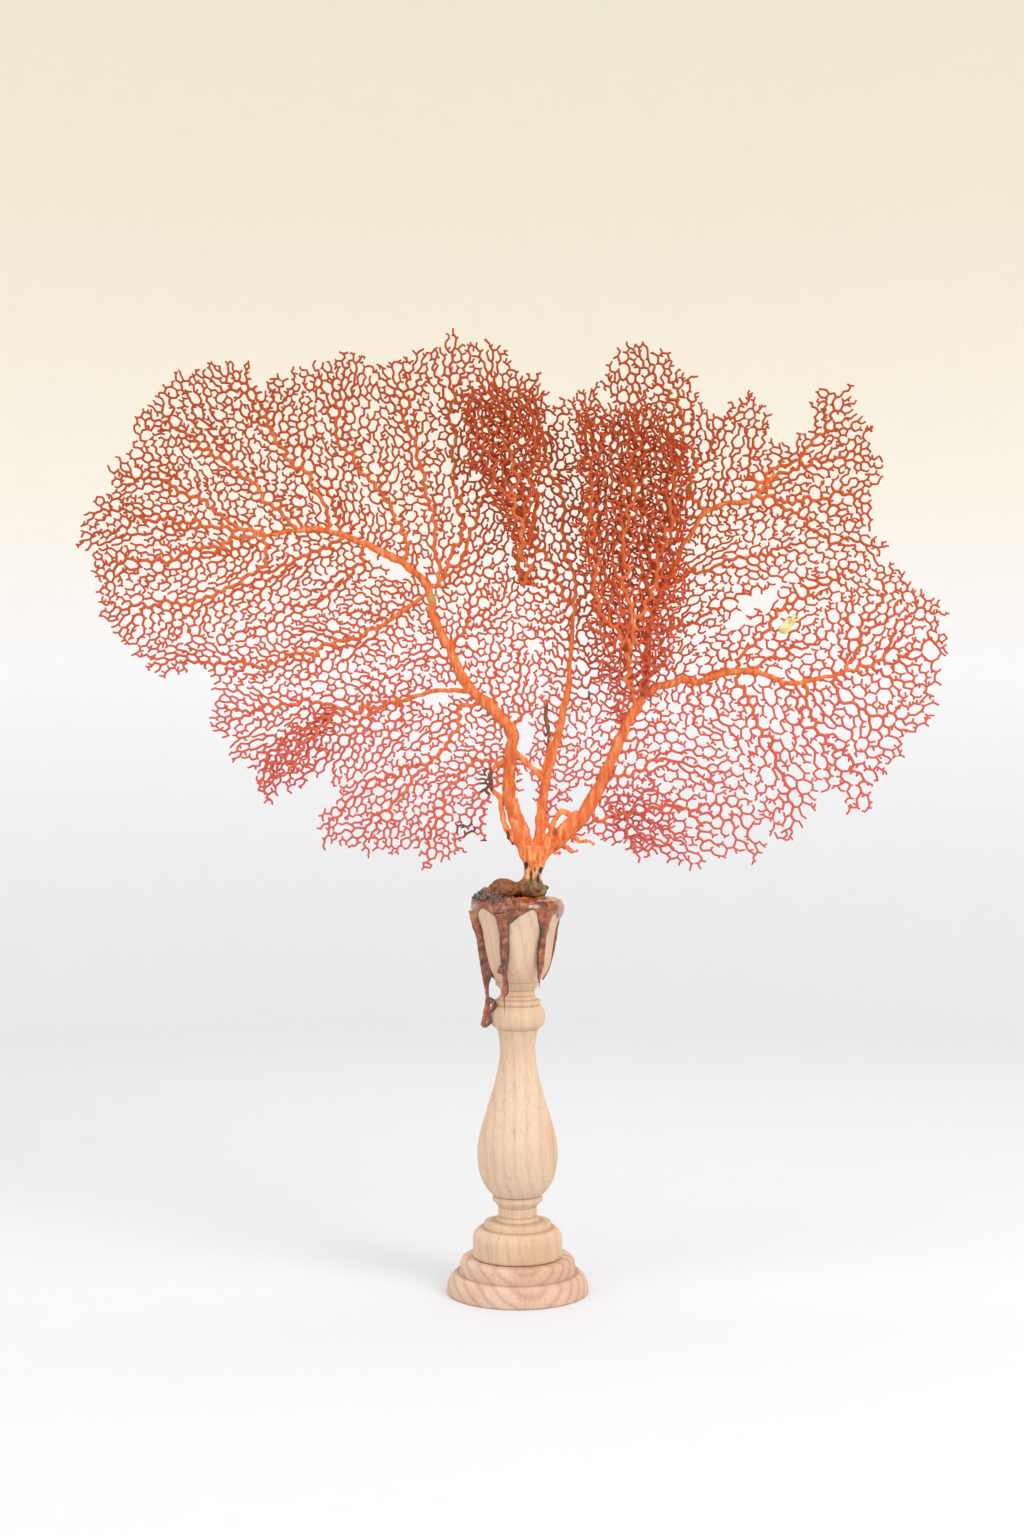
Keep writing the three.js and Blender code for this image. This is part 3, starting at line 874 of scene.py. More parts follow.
def weave(centres):
    """Twig crossings, and the twigs between them as pairs of crossings."""
    spots, _, triangles, _, _, _ = delaunay_2d_cdt([Vector(c) for c in centres], [], [], 0, 1e-5)
    spots = np.array([tuple(s) for s in spots])
    triangles = np.array(triangles)
    middles = spots[triangles].mean(axis=1)
    sides, pairs = {}, []
    for i, triangle in enumerate(triangles.tolist()):
        for a, b in zip(triangle, triangle[1:] + triangle[:1]):
            side = (min(a, b), max(a, b))
            if side in sides:
                pairs.append((sides[side], i))
            else:
                sides[side] = i
    return middles, pairs


# %% [markdown]
# Each crossing moves a little toward its neighbours and is then shaken, because grown cells
# are rounder than drawn ones. A twig that would leave the sheet becomes a free tip at its
# edge, and noise makes that edge ragged.

# %% Crossings kept on the sheet
EASE = 0.16
SHAKE = 0.2
TRACK = 24
SHORTEST_TIP = 5


class Crossings:
    """The crossings of one net, eased into place and kept on their sheet."""

    def __init__(self, layer, look, seed):
        self.rng = np.random.default_rng(seed)
        self.field = fields[layer]
        self.guides = guides(layer)
        self.limbs = [(along(BOUGHS[n]["limb"], 1.0), BOUGHS[n]["radii"]) for n in LAYERS[layer]]
        crossings, pairs = weave(scatter(self.field, look["spacing"], self.flow_of, self.rng))
        self.keep_inside(self.ease(crossings, pairs), pairs, look["fray"], seed)

    def flow_of(self, points):
        return flow_at(points, *self.guides)

    def ease(self, at, pairs):
        first, second = np.array(pairs).T
        total, count = np.zeros_like(at), np.zeros(len(at))
        for a, b in ((first, second), (second, first)):
            np.add.at(total, a, at[b])
            np.add.at(count, a, 1)
        at = at + EASE * (total / np.maximum(count, 1)[:, None] - at)
        return at + self.rng.normal(0, SHAKE, at.shape)

    def keep_inside(self, at, pairs, fray, seed):
        """Keeps twigs on the sheet. One that leaves it becomes a free tip at the edge."""
        ragged = np.array([0.45 + soft_noise((x / 8, z / 8, seed)) for x, z in at.tolist()])
        inside = self.field.read(self.field.margin, at) > fray * ragged
        self.at = list(map(tuple, at))
        self.edges, self.tips = [], []
        for a, b in pairs:
            if inside[a] and inside[b]:
                self.edges.append((a, b))
            elif inside[a] or inside[b]:
                start, end = (a, b) if inside[a] else (b, a)
                marks = np.linspace(0, 1, TRACK)[:, None]
                track = at[start] * (1 - marks) + at[end] * marks
                last = int(np.argmin(self.field.read(self.field.inside, track))) - 1
                if last > SHORTEST_TIP:
                    self.at.append(tuple(track[last]))
                    self.tips.append((start, len(self.at) - 1))


# %% [markdown]
# ## A way home for every twig
# Food and growth reach each twig along the shortest easy way from a limb. A step is easy
# when it runs with the flow and beside a vein. Finding that way for every crossing gives a
# tree inside the net, and shows how many crossings lie beyond each one.

# %% Ways home
THICK = 1.2
BATCH = 2000
VEIN_SIDE = 8


def tree_of(spots):
    """A search tree over flat points."""
    tree = KDTree(len(spots))
    for i, (x, z) in enumerate(spots):
        tree.insert((x, z, 0), i)
    tree.balance()
    return tree


class Ways(Crossings):
    """A net in which every crossing knows its way home to a limb."""

    def mark_limbs(self, at):
        """Marks the crossings that lie inside the thick part of a limb."""
        self.in_limb = np.zeros(len(at))
        for path, radii in self.limbs:
            thick = spread_radii(radii, len(path))
            path, thick = path[thick >= THICK], thick[thick >= THICK]
            if len(path) == 0:
                continue
            for part in np.array_split(np.arange(len(at)), max(1, len(at) // BATCH)):
                apart = np.sqrt(((at[part][:, None, :] - path[None, :, :]) ** 2).sum(2))
                touched = (thick[None, :] * 0.85 - apart).max(1) > 0
                self.in_limb[part[touched]] = 1

    def step_costs(self, at, edges):
        """The neighbours of each crossing, and what a step to each of them costs."""
        flow = self.flow_of(at)
        veins = tree_of(self.guides[0].tolist())
        off_vein = np.array([min(veins.find((x, z, 0))[2], VEIN_SIDE) / VEIN_SIDE
                             for x, z in at.tolist()])
        near = {}
        for a, b in edges:
            step = at[b] - at[a]
            length = math.hypot(*step)
            across = 1 - abs(float(step @ (flow[a] + flow[b]))) / (2 * length + 1e-9)
            cost = length * (1 + 1.4 * across) * (0.35 + 0.65 * (off_vein[a] + off_vein[b]) / 2)
            near.setdefault(a, []).append((b, cost))
            near.setdefault(b, []).append((a, cost))
        return near

    def find_ways(self):
        """The cheapest way from a limb to each crossing, found from the nearest one outward."""
        at = np.array(self.at)
        self.mark_limbs(at)
        edges = [e for e in self.edges if not (self.in_limb[e[0]] and self.in_limb[e[1]])]
        near = self.step_costs(at, edges)
        best = {int(i): 0.0 for i in np.nonzero(self.in_limb)[0] if int(i) in near}
        if not best:
            start = self.limbs[0][0][0]
            best = {min(near, key=lambda i: math.dist(self.at[i], start)): 0.0}
        queue = [(0.0, i) for i in best]
        heapq.heapify(queue)
        self.home, order = {}, []
        while queue:
            cost, i = heapq.heappop(queue)
            if cost > best[i]:
                continue
            order.append(i)
            for other, extra in near[i]:
                if cost + extra < best.get(other, math.inf):
                    best[other] = cost + extra
                    self.home[other] = i
                    heapq.heappush(queue, (cost + extra, other))
        self.beyond = np.ones(len(at))
        for i in reversed(order):
            if i in self.home:
                self.beyond[self.home[i]] += self.beyond[i]
        self.reached = set(order)
        self.edges = [e for e in edges if e[0] in self.reached]


# %% [markdown]
# The twigs on a way home are all kept, and are thicker the more crossings lie beyond them.
# Of the other twigs some stay and close a cell, and the rest break off short, which leaves
# little spurs that point into cells.

# %% Twigs as chains of short pieces
TWIG = 0.68
THICKEST = 1.65
STEP = 1.3
TIP_THIN = 0.84


class Net(Ways):
    """A flat net of twigs: points, their thickness, and short straight pieces between."""

    def __init__(self, layer, look, seed):
        super().__init__(layer, look, seed)
        self.find_ways()
        self.draw_twigs(look["loops"])

    def thickness(self, i):
        if self.in_limb[i]:
            return 1.15
        return min(TWIG * (0.90 + 0.18 * math.log2(1 + self.beyond[i] / 6)), THICKEST)

    def draw_twigs(self, loops):
        """Cuts some twigs short, then turns each one into a chain of short pieces."""
        corners = self.at
        self.at, self.radius, self.pieces, spot = [], [], [], {}

        def place(i, root):
            if self.in_limb[i]:
                return self.put(corners[i], min(self.thickness(root) * 1.5, 1.4))
            if i not in spot:
                spot[i] = self.put(corners[i], self.thickness(i))
            return spot[i]

        for a, b in self.edges:
            homeward = self.home.get(a) == b or self.home.get(b) == a
            if homeward or self.rng.random() < loops:
                self.chain(place(a, b), place(b, a))
                continue
            length = math.dist(corners[a], corners[b])
            ends = [(a, b), (b, a)]
            if self.rng.random() < 0.6:
                ends = [ends[int(self.beyond[a] > self.beyond[b])]]
            reach = (0.45, 0.68) if len(ends) == 1 else (0.25, 0.4)
            for start, end in ends:
                share = self.rng.uniform(*reach)
                if length * share > 1.0 and not self.in_limb[start]:
                    first = place(start, start)
                    mix = np.array(corners[start]) * (1 - share) + np.array(corners[end]) * share
                    self.chain(first, self.put(mix, TWIG * 0.86))
        for start, end in self.tips:
            if start in self.reached and not self.in_limb[start]:
                self.chain(place(start, start), self.put(corners[end], TWIG * TIP_THIN))

    def put(self, spot, radius):
        self.at.append((float(spot[0]), float(spot[1])))
        self.radius.append(radius)
        return len(self.at) - 1

    def chain(self, a, b):
        """A slightly bent twig from one point to another."""
        start, end = np.array(self.at[a]), np.array(self.at[b])
        length = math.dist(start, end)
        count = max(1, round(length / STEP))
        across = np.array((start[1] - end[1], end[0] - start[0]))
        bow = self.rng.normal(0, 0.075)
        owner = int(self.field.read(self.field.owner, (start + end)[None] / 2)[0])
        last = a
        for k in range(1, count):
            t = k / count
            spot = start * (1 - t) + end * t + across * bow * math.sin(math.pi * t)
            spot = spot + self.rng.normal(0, 0.08, 2)
            thick = self.radius[a] * (1 - t) + self.radius[b] * t
            self.pieces.append((last, self.put(spot, thick), owner))
            last = len(self.at) - 1
        self.pieces.append((last, b, owner))


# %% [markdown]
# Last come more spurs: short side twigs wherever a cell has room for one.

# %% Spurs
def add_spurs(net, share):
    """Grows spurs from this share of the places where a twig runs straight on."""
    tree = tree_of(net.at)
    degree = np.bincount(np.array(net.pieces)[:, :2].ravel(), minlength=len(net.at))
    heading = np.zeros((len(net.at), 2))
    owners = {}
    for a, b, owner in net.pieces:
        way = np.array(net.at[b]) - np.array(net.at[a])
        heading[a] += way
        heading[b] += way
        owners[a] = owners[b] = owner
    taken = []
    for i in net.rng.permutation(np.nonzero(degree == 2)[0]).tolist():
        if net.rng.random() > share:
            continue
        way = heading[i] / (np.linalg.norm(heading[i]) + 1e-9)
        turn = math.radians(net.rng.uniform(40, 75)) * net.rng.choice((-1, 1))
        cos, sin = math.cos(turn), math.sin(turn)
        way = np.array((way[0] * cos - way[1] * sin, way[0] * sin + way[1] * cos))
        end = np.array(net.at[i]) + way * net.rng.uniform(1.7, 2.9)
        if any(other != i for _, other, _ in tree.find_range((*end, 0), 1.25)):
            continue
        if any((end[0] - p[0]) ** 2 + (end[1] - p[1]) ** 2 < 2.2 for p in taken[-400:]):
            continue
        taken.append(end)
        net.pieces.append((i, net.put(end, TWIG * TIP_THIN), owners[i]))


# %% [markdown]
# Now every layer is woven. The big sheet is closest beside the limbs. The folds are closer
# still, and the two large ones are two sheets deep, which is why they look so dark.

# %% Weave every layer
def main_spacing(points):
    """Closer twigs beside the limbs, wider ones low on the right."""
    open_air = np.clip((points[:, 0] + 20) / 180, 0, 1) * np.clip((450 - points[:, 1]) / 150, 0, 1)
    by_the_limbs = np.clip(1 - np.hypot(points[:, 0] - 10, points[:, 1] - 320) / 90, 0, 1)
    return 2.02 + 0.8 * open_air - 0.25 * by_the_limbs


def even_spacing(apart):
    return lambda points: np.full(len(points), apart)


def fold_look(apart, sheets):
    return {"spacing": even_spacing(apart), "loops": 0.35, "spurs": 0.15, "fray": 11, "sheets": sheets}


LOOKS = {
    "main": {"spacing": main_spacing, "loops": 0.24, "spurs": 0.22, "fray": 4.5, "sheets": [0.0]},
    "front_fold": fold_look(2.2, [0.0, -7.0]),
    "top_fold": fold_look(2.2, [0.0, -6.0]),
    "left_fold": fold_look(2.2, [0.0]),
    "lower_right_fold": fold_look(2.6, [0.0]),
}
nets = []
for number, layer in enumerate(LAYERS):
    for copy, lift in enumerate(LOOKS[layer]["sheets"]):
        net = Net(layer, LOOKS[layer], 100 * number + copy + 7)
        add_spurs(net, LOOKS[layer]["spurs"])
        nets.append((layer, lift, net))
        print(layer, "has", len(net.reached), "crossings and", len(net.pieces), "short pieces of twig")

# %% [markdown]
# ## Skin on the twigs
# Each point of the net gets a point in front, one behind, and two in every corner between
# twigs. Joining them along each twig gives a six-sided tube whose forks close by
# themselves, with no hole and nothing hidden inside. Free tips end in a small cone.

# %% Skin
HEX = 0.87


def skin_net(at, depth, radius, edges):
    """A closed tube mesh around a flat net. Returns points, faces and each point's girth."""
    near = {}
    for a, b in edges:
        near.setdefault(a, []).append(b)
        near.setdefault(b, []).append(a)
    points, girth, faces = [], [], []
    ring = {}

    def put(x, y, z, thick):
        points.append((x * MM, y * MM, z * MM))
        girth.append(thick)
        return len(points) - 1

    def corner(x, y, z, angle, reach, r):
        spot = x + reach * math.cos(angle), z + reach * math.sin(angle)
        return put(spot[0], y - r / 2, spot[1], r), put(spot[0], y + r / 2, spot[1], r)

    for i, others in near.items():
        x, z = at[i]
        y, r = depth[i], radius[i]
        angles = sorted((math.atan2(at[o][1] - z, at[o][0] - x), o) for o in dict.fromkeys(others))
        front = put(x, y - r, z, r)
        back = put(x, y + r, z, r)
        if len(angles) == 1:
            angle, other = angles[0]
            left = corner(x, y, z, angle + math.pi / 2, HEX * r, r)
            right = corner(x, y, z, angle - math.pi / 2, HEX * r, r)
            ring[i, other] = (front, back, left, right)
            tip = put(x - 0.75 * r * math.cos(angle), y, z - 0.75 * r * math.sin(angle), r)
            loop = [front, left[0], left[1], back, right[1], right[0]]
            faces.extend((loop[k], loop[(k + 1) % 6], tip) for k in range(6))
            continue
        gaps = []
        for k, (angle, other) in enumerate(angles):
            turn = (angles[(k + 1) % len(angles)][0] - angle) % (2 * math.pi)
            if turn < math.pi:
                reach = min(HEX * r / max(math.sin(turn / 2), 0.2), 1.7 * r)
            else:
                reach = HEX * r
            gaps.append(corner(x, y, z, angle + turn / 2, reach, r))
        for k, (angle, other) in enumerate(angles):
            ring[i, other] = (front, back, gaps[k], gaps[k - 1])
    for a, b in dict.fromkeys(tuple(sorted(edge)) for edge in edges):
        front_a, back_a, left_a, right_a = ring[a, b]
        front_b, back_b, right_b, left_b = ring[b, a]
        faces += [
            (front_a, front_b, left_b[0], left_a[0]),
            (left_a[0], left_b[0], left_b[1], left_a[1]),
            (left_a[1], left_b[1], back_b, back_a),
            (back_a, back_b, right_b[1], right_a[1]),
            (right_a[1], right_b[1], right_b[0], right_a[0]),
            (right_a[0], right_b[0], front_b, front_a),
        ]
    return points, faces, girth


def applied(made):
    """The object's mesh with its modifiers made real."""
    bpy.context.view_layer.update()
    graph = bpy.context.evaluated_depsgraph_get()
    data = bpy.data.meshes.new_from_object(made.evaluated_get(graph))
    made.modifiers.clear()
    made.data = data
    return made


def set_girth(made, values):
    layer = made.data.attributes.new("girth", "FLOAT", "POINT")
    layer.data.foreach_set("value", values)


def joined(name, pieces):
    if len(pieces) > 1:
        with bpy.context.temp_override(active_object=pieces[0], selected_editable_objects=pieces):
            bpy.ops.object.join()
    pieces[0].name = name
    pieces[0].data.name = name
    return pieces[0]


# %% [markdown]
# ## Limbs with bark
# The thick limbs are round, slightly flattened and knobbly, with fine grooves that run
# along them. They start as tubes with a ring of points every unit. Remeshing them as one
# skin fuses the forks, and moving each point by a little noise gives the bark its lumps.

# %% Tubes for limbs
TUBE_SIDES = 14


def tube(name, path, radii, flat=0.86):
    """A capped tube along (x, y, z) points, one radius each, slightly flattened in depth."""
    path = np.array(path)
    points, faces = [], []
    ways = np.gradient(path, axis=0)
    for centre, way, radius in zip(path, ways, radii):
        way = Vector(way).normalized()
        across = Vector((0, -1, 0)).cross(way).normalized()
        ahead = way.cross(across).normalized()
        for k in range(TUBE_SIDES):
            angle = 2 * math.pi * k / TUBE_SIDES
            sideways = across * radius * math.cos(angle)
            spot = Vector(centre) + sideways + ahead * radius * flat * math.sin(angle)
            points.append(tuple(spot * MM))
    for ring in range(len(path) - 1):
        for k in range(TUBE_SIDES):
            n = (k + 1) % TUBE_SIDES
            low, high = ring * TUBE_SIDES, (ring + 1) * TUBE_SIDES
            faces.append((low + k, low + n, high + n, high + k))
    faces.append(tuple(reversed(range(TUBE_SIDES))))
    faces.append(tuple(range((len(path) - 1) * TUBE_SIDES, len(path) * TUBE_SIDES)))
    return face_outward(mesh_object(name, points, faces))


def fuse(made, voxel, smooth_rounds):
    """One closed skin around everything in the object."""
    remesh = made.modifiers.new("fuse", "REMESH")
    remesh.mode = "VOXEL"
    remesh.voxel_size = voxel
    remesh.use_smooth_shade = True
    if smooth_rounds:
        relax = made.modifiers.new("relax", "SMOOTH")
        relax.factor = 0.5
        relax.iterations = smooth_rounds
    return applied(made)


# %% [markdown]
# Noise moved along the normals gives the lumps. The depth of everything comes from the map
# of its sheet, with a gentle swell. A fold leaves the main sheet at its foot and rises from it.

# %% Lumps and depth
def swell(made, amount):
    """Moves each point along its normal by amount(x, y, z), all in small units."""
    data = made.data
    places = np.empty(len(data.vertices) * 3)
    data.vertices.foreach_get("co", places)
    places = places.reshape(-1, 3)
    normals = np.array([tuple(vertex.normal) for vertex in data.vertices])
    moves = np.array([amount(x, y, z) for x, y, z in (places / MM).tolist()])
    data.vertices.foreach_set("co", (places + normals * moves[:, None] * MM).ravel())
    data.update()


def limb_lumps(x, y, z):
    grain = soft_noise((x * 0.17, y * 0.17, z * 0.07)) * 0.5
    return grain + soft_noise((x * 0.5, y * 0.5, z * 0.35)) * 0.22


FOLD_RISE = 42


def layer_depth(layer, at, lift):
    """Depth of a layer at each point: its sheet, with the gentle swell of a dried fan."""
    at = np.array(at)
    depth = fields[layer].read_smooth(at) + lift
    if layer != "main":
        flat = fields["main"].read_smooth(at) - 1.2
        root = np.array(BOUGHS[layer]["limb"][0])
        rise = np.clip(np.linalg.norm(at - root, axis=1) / FOLD_RISE, 0, 1)
        depth = flat + (depth - flat) * rise * rise * (3 - 2 * rise)
    swells = np.array([soft_noise((x / 26, z / 26, lift)) for x, z in at.tolist()])
    crumple = np.array([soft_noise((x / 9, z / 9, 5 + lift)) for x, z in at.tolist()])
    rough = 0.7 if layer == "main" else 2.2
    return depth + 2.2 * swells + rough * crumple


# %% [markdown]
# ## Coral colours
# Thin twigs run from brick orange at the top to a pinker red low down, and thick ones turn
# the bright streaked orange of the limbs. The girth stored on each point of the mesh tells
# them apart. The thin twigs' change from pink to orange is their own colour, but the darker
# brick orange at the top is partly painted shade. A few places are dead and brown.

# %% Coral skin
DEAD_PLACES = [
    ((-18, 285), (3.5, 9), (84, 48, 40)),
    ((-29, 259), (7, 5), (112, 52, 56)),
    ((-17, 249), (4, 5), (44, 30, 40)),
    ((39, 334), (2.2, 4), (84, 58, 40)),
    ((16.5, 318), (1.8, 13), (104, 50, 34)),
    ((-47, 388), (3.4, 3.6), (176, 150, 84)),
]


def patch(x, up, ragged, centre, half):
    """One inside a ragged oval, and nothing outside it."""
    sideways = (x - centre[0] * MM) * (1 / (half[0] * MM))
    upward = (up - centre[1] * MM) * (1 / (half[1] * MM))
    away = (sideways * sideways + upward * upward) ** 0.5
    return 1 - (away + (ragged - 0.5) * 0.9).over(0.75, 1.1)


def limb_tone(sheet, streak):
    return sheet.ramp(streak, [
        (0.3, linear(200, 86, 36)),
        (0.46, linear(229, 116, 56)),
        (0.58, linear(240, 144, 88)),
        (0.76, linear(248, 188, 140)),
    ])


def coral(name):
    sheet = Sheet(name)
    place = sheet.place()
    x, _, up = sheet.parts(place)
    girth = sheet.node("ShaderNodeAttribute", {"attribute_name": "girth"}, {}, "Fac")
    # Partly painted shade: thin twigs darken to brick orange toward the top, beside their own change from
    # pink to orange.
    high = up.over(0.25, 0.50)
    wander = sheet.grain(place, 24, 3)
    twig = sheet.ramp((high + (wander - 0.5) * 0.35).clip(), [
        (0.0, linear(218, 98, 90)),
        (0.3, linear(215, 92, 66)),
        (0.6, linear(202, 82, 38)),
        (1.0, linear(178, 68, 22)),
    ])
    limb = limb_tone(sheet, sheet.grain(place, 420, 4, 0.65, stretch=(1, 1, 0.2)))
    tone = sheet.blend(girth.over(0.78, 1.6), twig, limb)
    speck = sheet.cells(place, 1500)
    tone = sheet.blend(speck.over(0.25, 0.5) * 0.3, tone, linear(150, 58, 26))
    for centre, half, colour in DEAD_PLACES:
        tone = sheet.blend(patch(x, up, wander, centre, half) * 0.85, tone, linear(*colour))
    relief = sheet.grain(place, 900, 4, 0.65) + sheet.grain(place, 260, 3, 0.5, stretch=(1, 1, 0.2)) * 0.8
    return sheet.finish(
        Base_Color=tone,
        Roughness=0.62 + wander * 0.25,
        Specular_IOR_Level=0.3,
        Normal=sheet.bump(relief, 0.5, 0.0004),
    )


coral_skin = coral("coral_skin")

# %% [markdown]
# Each bough is now put together: its share of every net, and the thick part of its limb.

# %% Build each bough
VOXEL = 0.55 * MM
LIMB_WANDER = 0.17


def wood_of(name, layer):
    """The thick part of a bough's limb, with a little wander, as one knobbly skin."""
    rng = np.random.default_rng(len(name))
    path = along(BOUGHS[name]["limb"], 1.0)
    radii = spread_radii(BOUGHS[name]["radii"], len(path))
    path = path[radii >= THICK]
    radii = radii[radii >= THICK]
    if len(path) < 4:
        return []
    wander = np.cumsum(rng.normal(0, LIMB_WANDER, path.shape), axis=0)
    wander -= np.linspace(0, 1, len(path))[:, None] * wander[-1]
    path = path + wander
    uneven = np.array([soft_noise((i / 6, len(name), 0)) for i in range(len(path))])
    buried = np.clip(0.55 + np.arange(len(path)) / 16, 0, 1)
    radii = radii * (1 + 0.16 * uneven) * buried
    deep = layer_depth(layer, path, 0)
    spots = [(x, y, z) for (x, z), y in zip(path.tolist(), deep)]
    wood = fuse(tube(name + "_wood", spots, radii), VOXEL, 2)
    swell(wood, limb_lumps)
    set_girth(wood, [3.0] * len(wood.data.vertices))
    return [wood]


parts = {name: [] for name in BOUGHS}
for layer, lift, net in nets:
    depth = layer_depth(layer, net.at, lift)
    for owner, name in enumerate(LAYERS[layer]):
        edges = [(a, b) for a, b, who in net.pieces if who == owner]
        points, faces, girth = skin_net(net.at, depth, net.radius, edges)
        twigs = mesh_object(name + "_twigs", points, faces)
        set_girth(twigs, girth)
        parts[name].append(twigs)
        if lift == 0:
            parts[name] += wood_of(name, layer)
for name, made in parts.items():
    hand_over(joined("coral_" + name, made), name, coral_skin)

# %% [markdown]
# ## The trunk and its holdfast
# Where the limbs meet they flow into one short trunk with a narrow neck, grooved along its
# length. Under it is the holdfast, the crust that once gripped a rock: a brown and olive
# lump. Thin strands leave the limbs and join them again higher up, which leaves windows.
# All of it is tubes and egg shapes pushed together and fused into one skin.

# %% Trunk
TRUNK_RUNS = [
    ([(8.5, 224), (8.2, 228), (8.4, 232), (8.8, 236), (9.3, 241), (9.5, 246), (9.5, 250)],
     (6.0, 5.6, 5.0, 5.3, 7.0, 7.8, 6.8)),
    ([(4, 224.4), (9, 225), (13, 225.2), (17.4, 225.6)], (4.2, 4.6, 3.6, 0.9)),
    ([(6, 243), (4, 250), (1, 259), (-2, 268), (-3, 276)], (4.6, 5.0, 4.4, 3.9, 3.4)),
    ([(12, 243), (16, 249), (22, 253), (29, 260), (35, 267)], (4.8, 5.2, 4.9, 4.4, 3.8)),
    ([(11, 246), (12.5, 256), (13, 266), (14, 274)], (3.4, 3.2, 3.0, 2.6)),
    ([(-1, 251), (-4, 255), (-7.5, 262), (-9, 270), (-9.5, 276), (-14, 281), (-15.5, 289), (-12, 294),
      (-5, 299)], (2.3, 1.8, 1.5, 1.5, 1.4, 1.3, 1.3, 1.4, 1.6)),
    ([(-9.5, 276), (-6, 279), (-2, 282)], (1.2, 1.1, 1.4)),
    ([(15, 286), (9, 292), (4, 297), (-1, 302)], (1.8, 1.7, 1.7, 1.8)),
    ([(16, 250), (19, 258), (22, 266), (25, 269), (30, 266)], (2.0, 1.7, 1.5, 1.4, 1.8)),
    ([(19, 258), (16, 263), (14, 268)], (1.2, 1.1, 1.4)),
    ([(17, 300), (18, 309), (16, 320), (16, 331)], (1.5, 1.3, 1.1, 1.0)),
    ([(15, 290), (17, 300)], (1.8, 1.5)),
    ([(24, 250), (28, 248), (31, 246), (34, 247)], (2.0, 1.4, 1.1, 0.9)),
    ([(30, 255), (35, 252), (40, 252), (43, 250)], (1.8, 1.2, 1.0, 0.9)),
    ([(19, 248), (22, 245), (24, 246)], (1.8, 1.1, 0.9)),
]
HOLDFAST_LUMPS = [
    ((-6, -1, 225.0), (11, 9, 4.6)),
    ((-8, -1, 227.6), (6.5, 5.5, 3.4)),
    ((-14, -2, 223.3), (7, 7, 3.6)),
    ((2, 0, 225.0), (10, 8.5, 4.4)),
    ((7, 0, 227.5), (7.5, 6.5, 3.6)),
    ((9.5, 0, 224.2), (7, 7.5, 4.4)),
]


def egg(name, centre, half, sides=20):
    """A closed egg shape, half as wide as its three half sizes say."""
    made = lathe(name, [(math.sin(t), -math.cos(t)) for t in np.linspace(0, math.pi, sides)], sides)
    for vertex in made.data.vertices:
        vertex.co = Vector([(c + v * h) * MM for c, v, h in zip(centre, vertex.co, half)])
    return made


def on_sheet(path):
    """Depth for a run that starts on the trunk and rises onto the sheet."""
    deep = layer_depth("main", path, 0)
    rise = np.clip((path[:, 1] - 246) / 18, 0, 1)
    return deep * rise


solids = [egg("lump", centre, half) for centre, half in HOLDFAST_LUMPS]
for number, (run, radii) in enumerate(TRUNK_RUNS):
    path = along(run, 1.0)
    wander = np.array([[soft_noise((k / 4, number, s)) for s in (0, 9)] for k in range(len(path))])
    path = path + wander * 0.5
    thick = spread_radii(radii, len(path))
    spots = [(x, y, z) for (x, z), y in zip(path.tolist(), on_sheet(path))]
    solids.append(tube("run", spots, thick, 0.8))
trunk = fuse(joined("coral_trunk", solids), 0.5 * MM, 3)


def trunk_lumps(x, y, z):
    """Grooves along the trunk, and rough crust on the holdfast below it."""
    low = min(max((231 - z) / 4, 0), 1)
    groove = soft_noise((x * 0.9, y * 0.9, z * 0.06)) * 0.55 * (1 - low)
    knob = soft_noise((x * 0.28, y * 0.28, z * 0.28)) * (0.4 + 1.1 * low)
    fine = soft_noise((x * 0.8, y * 0.8, z * 0.8)) * 0.5 * low
    return groove + knob + fine


swell(trunk, trunk_lumps)


# %% [markdown]
# The trunk has the limbs' orange, which fades to peach at the neck. The crust under it is
# brown, with olive on the right. Dark scars lie where strands broke off and rotted.

# %% Trunk colours
SCARS = [
    ((4.8, 238.6), (1.2, 2.4), 0.95), ((13.2, 235.6), (1.5, 2.2), 0.95),
    ((7.6, 232.8), (0.8, 3.6), 0.9), ((11.4, 231.6), (0.9, 3.0), 0.9),
    ((9.6, 236.4), (0.7, 1.6), 0.7), ((-5.5, 255), (1.6, 3.4), 0.85),
    ((-3.2, 250), (1.2, 2.0), 0.8), ((21, 257), (1.6, 3.0), 0.55),
    ((-15.5, 286), (2.4, 7.0), 0.8), ((16.4, 318), (2.2, 15), 0.75),
    ((6.5, 262), (1.0, 1.0), 0.6),
]


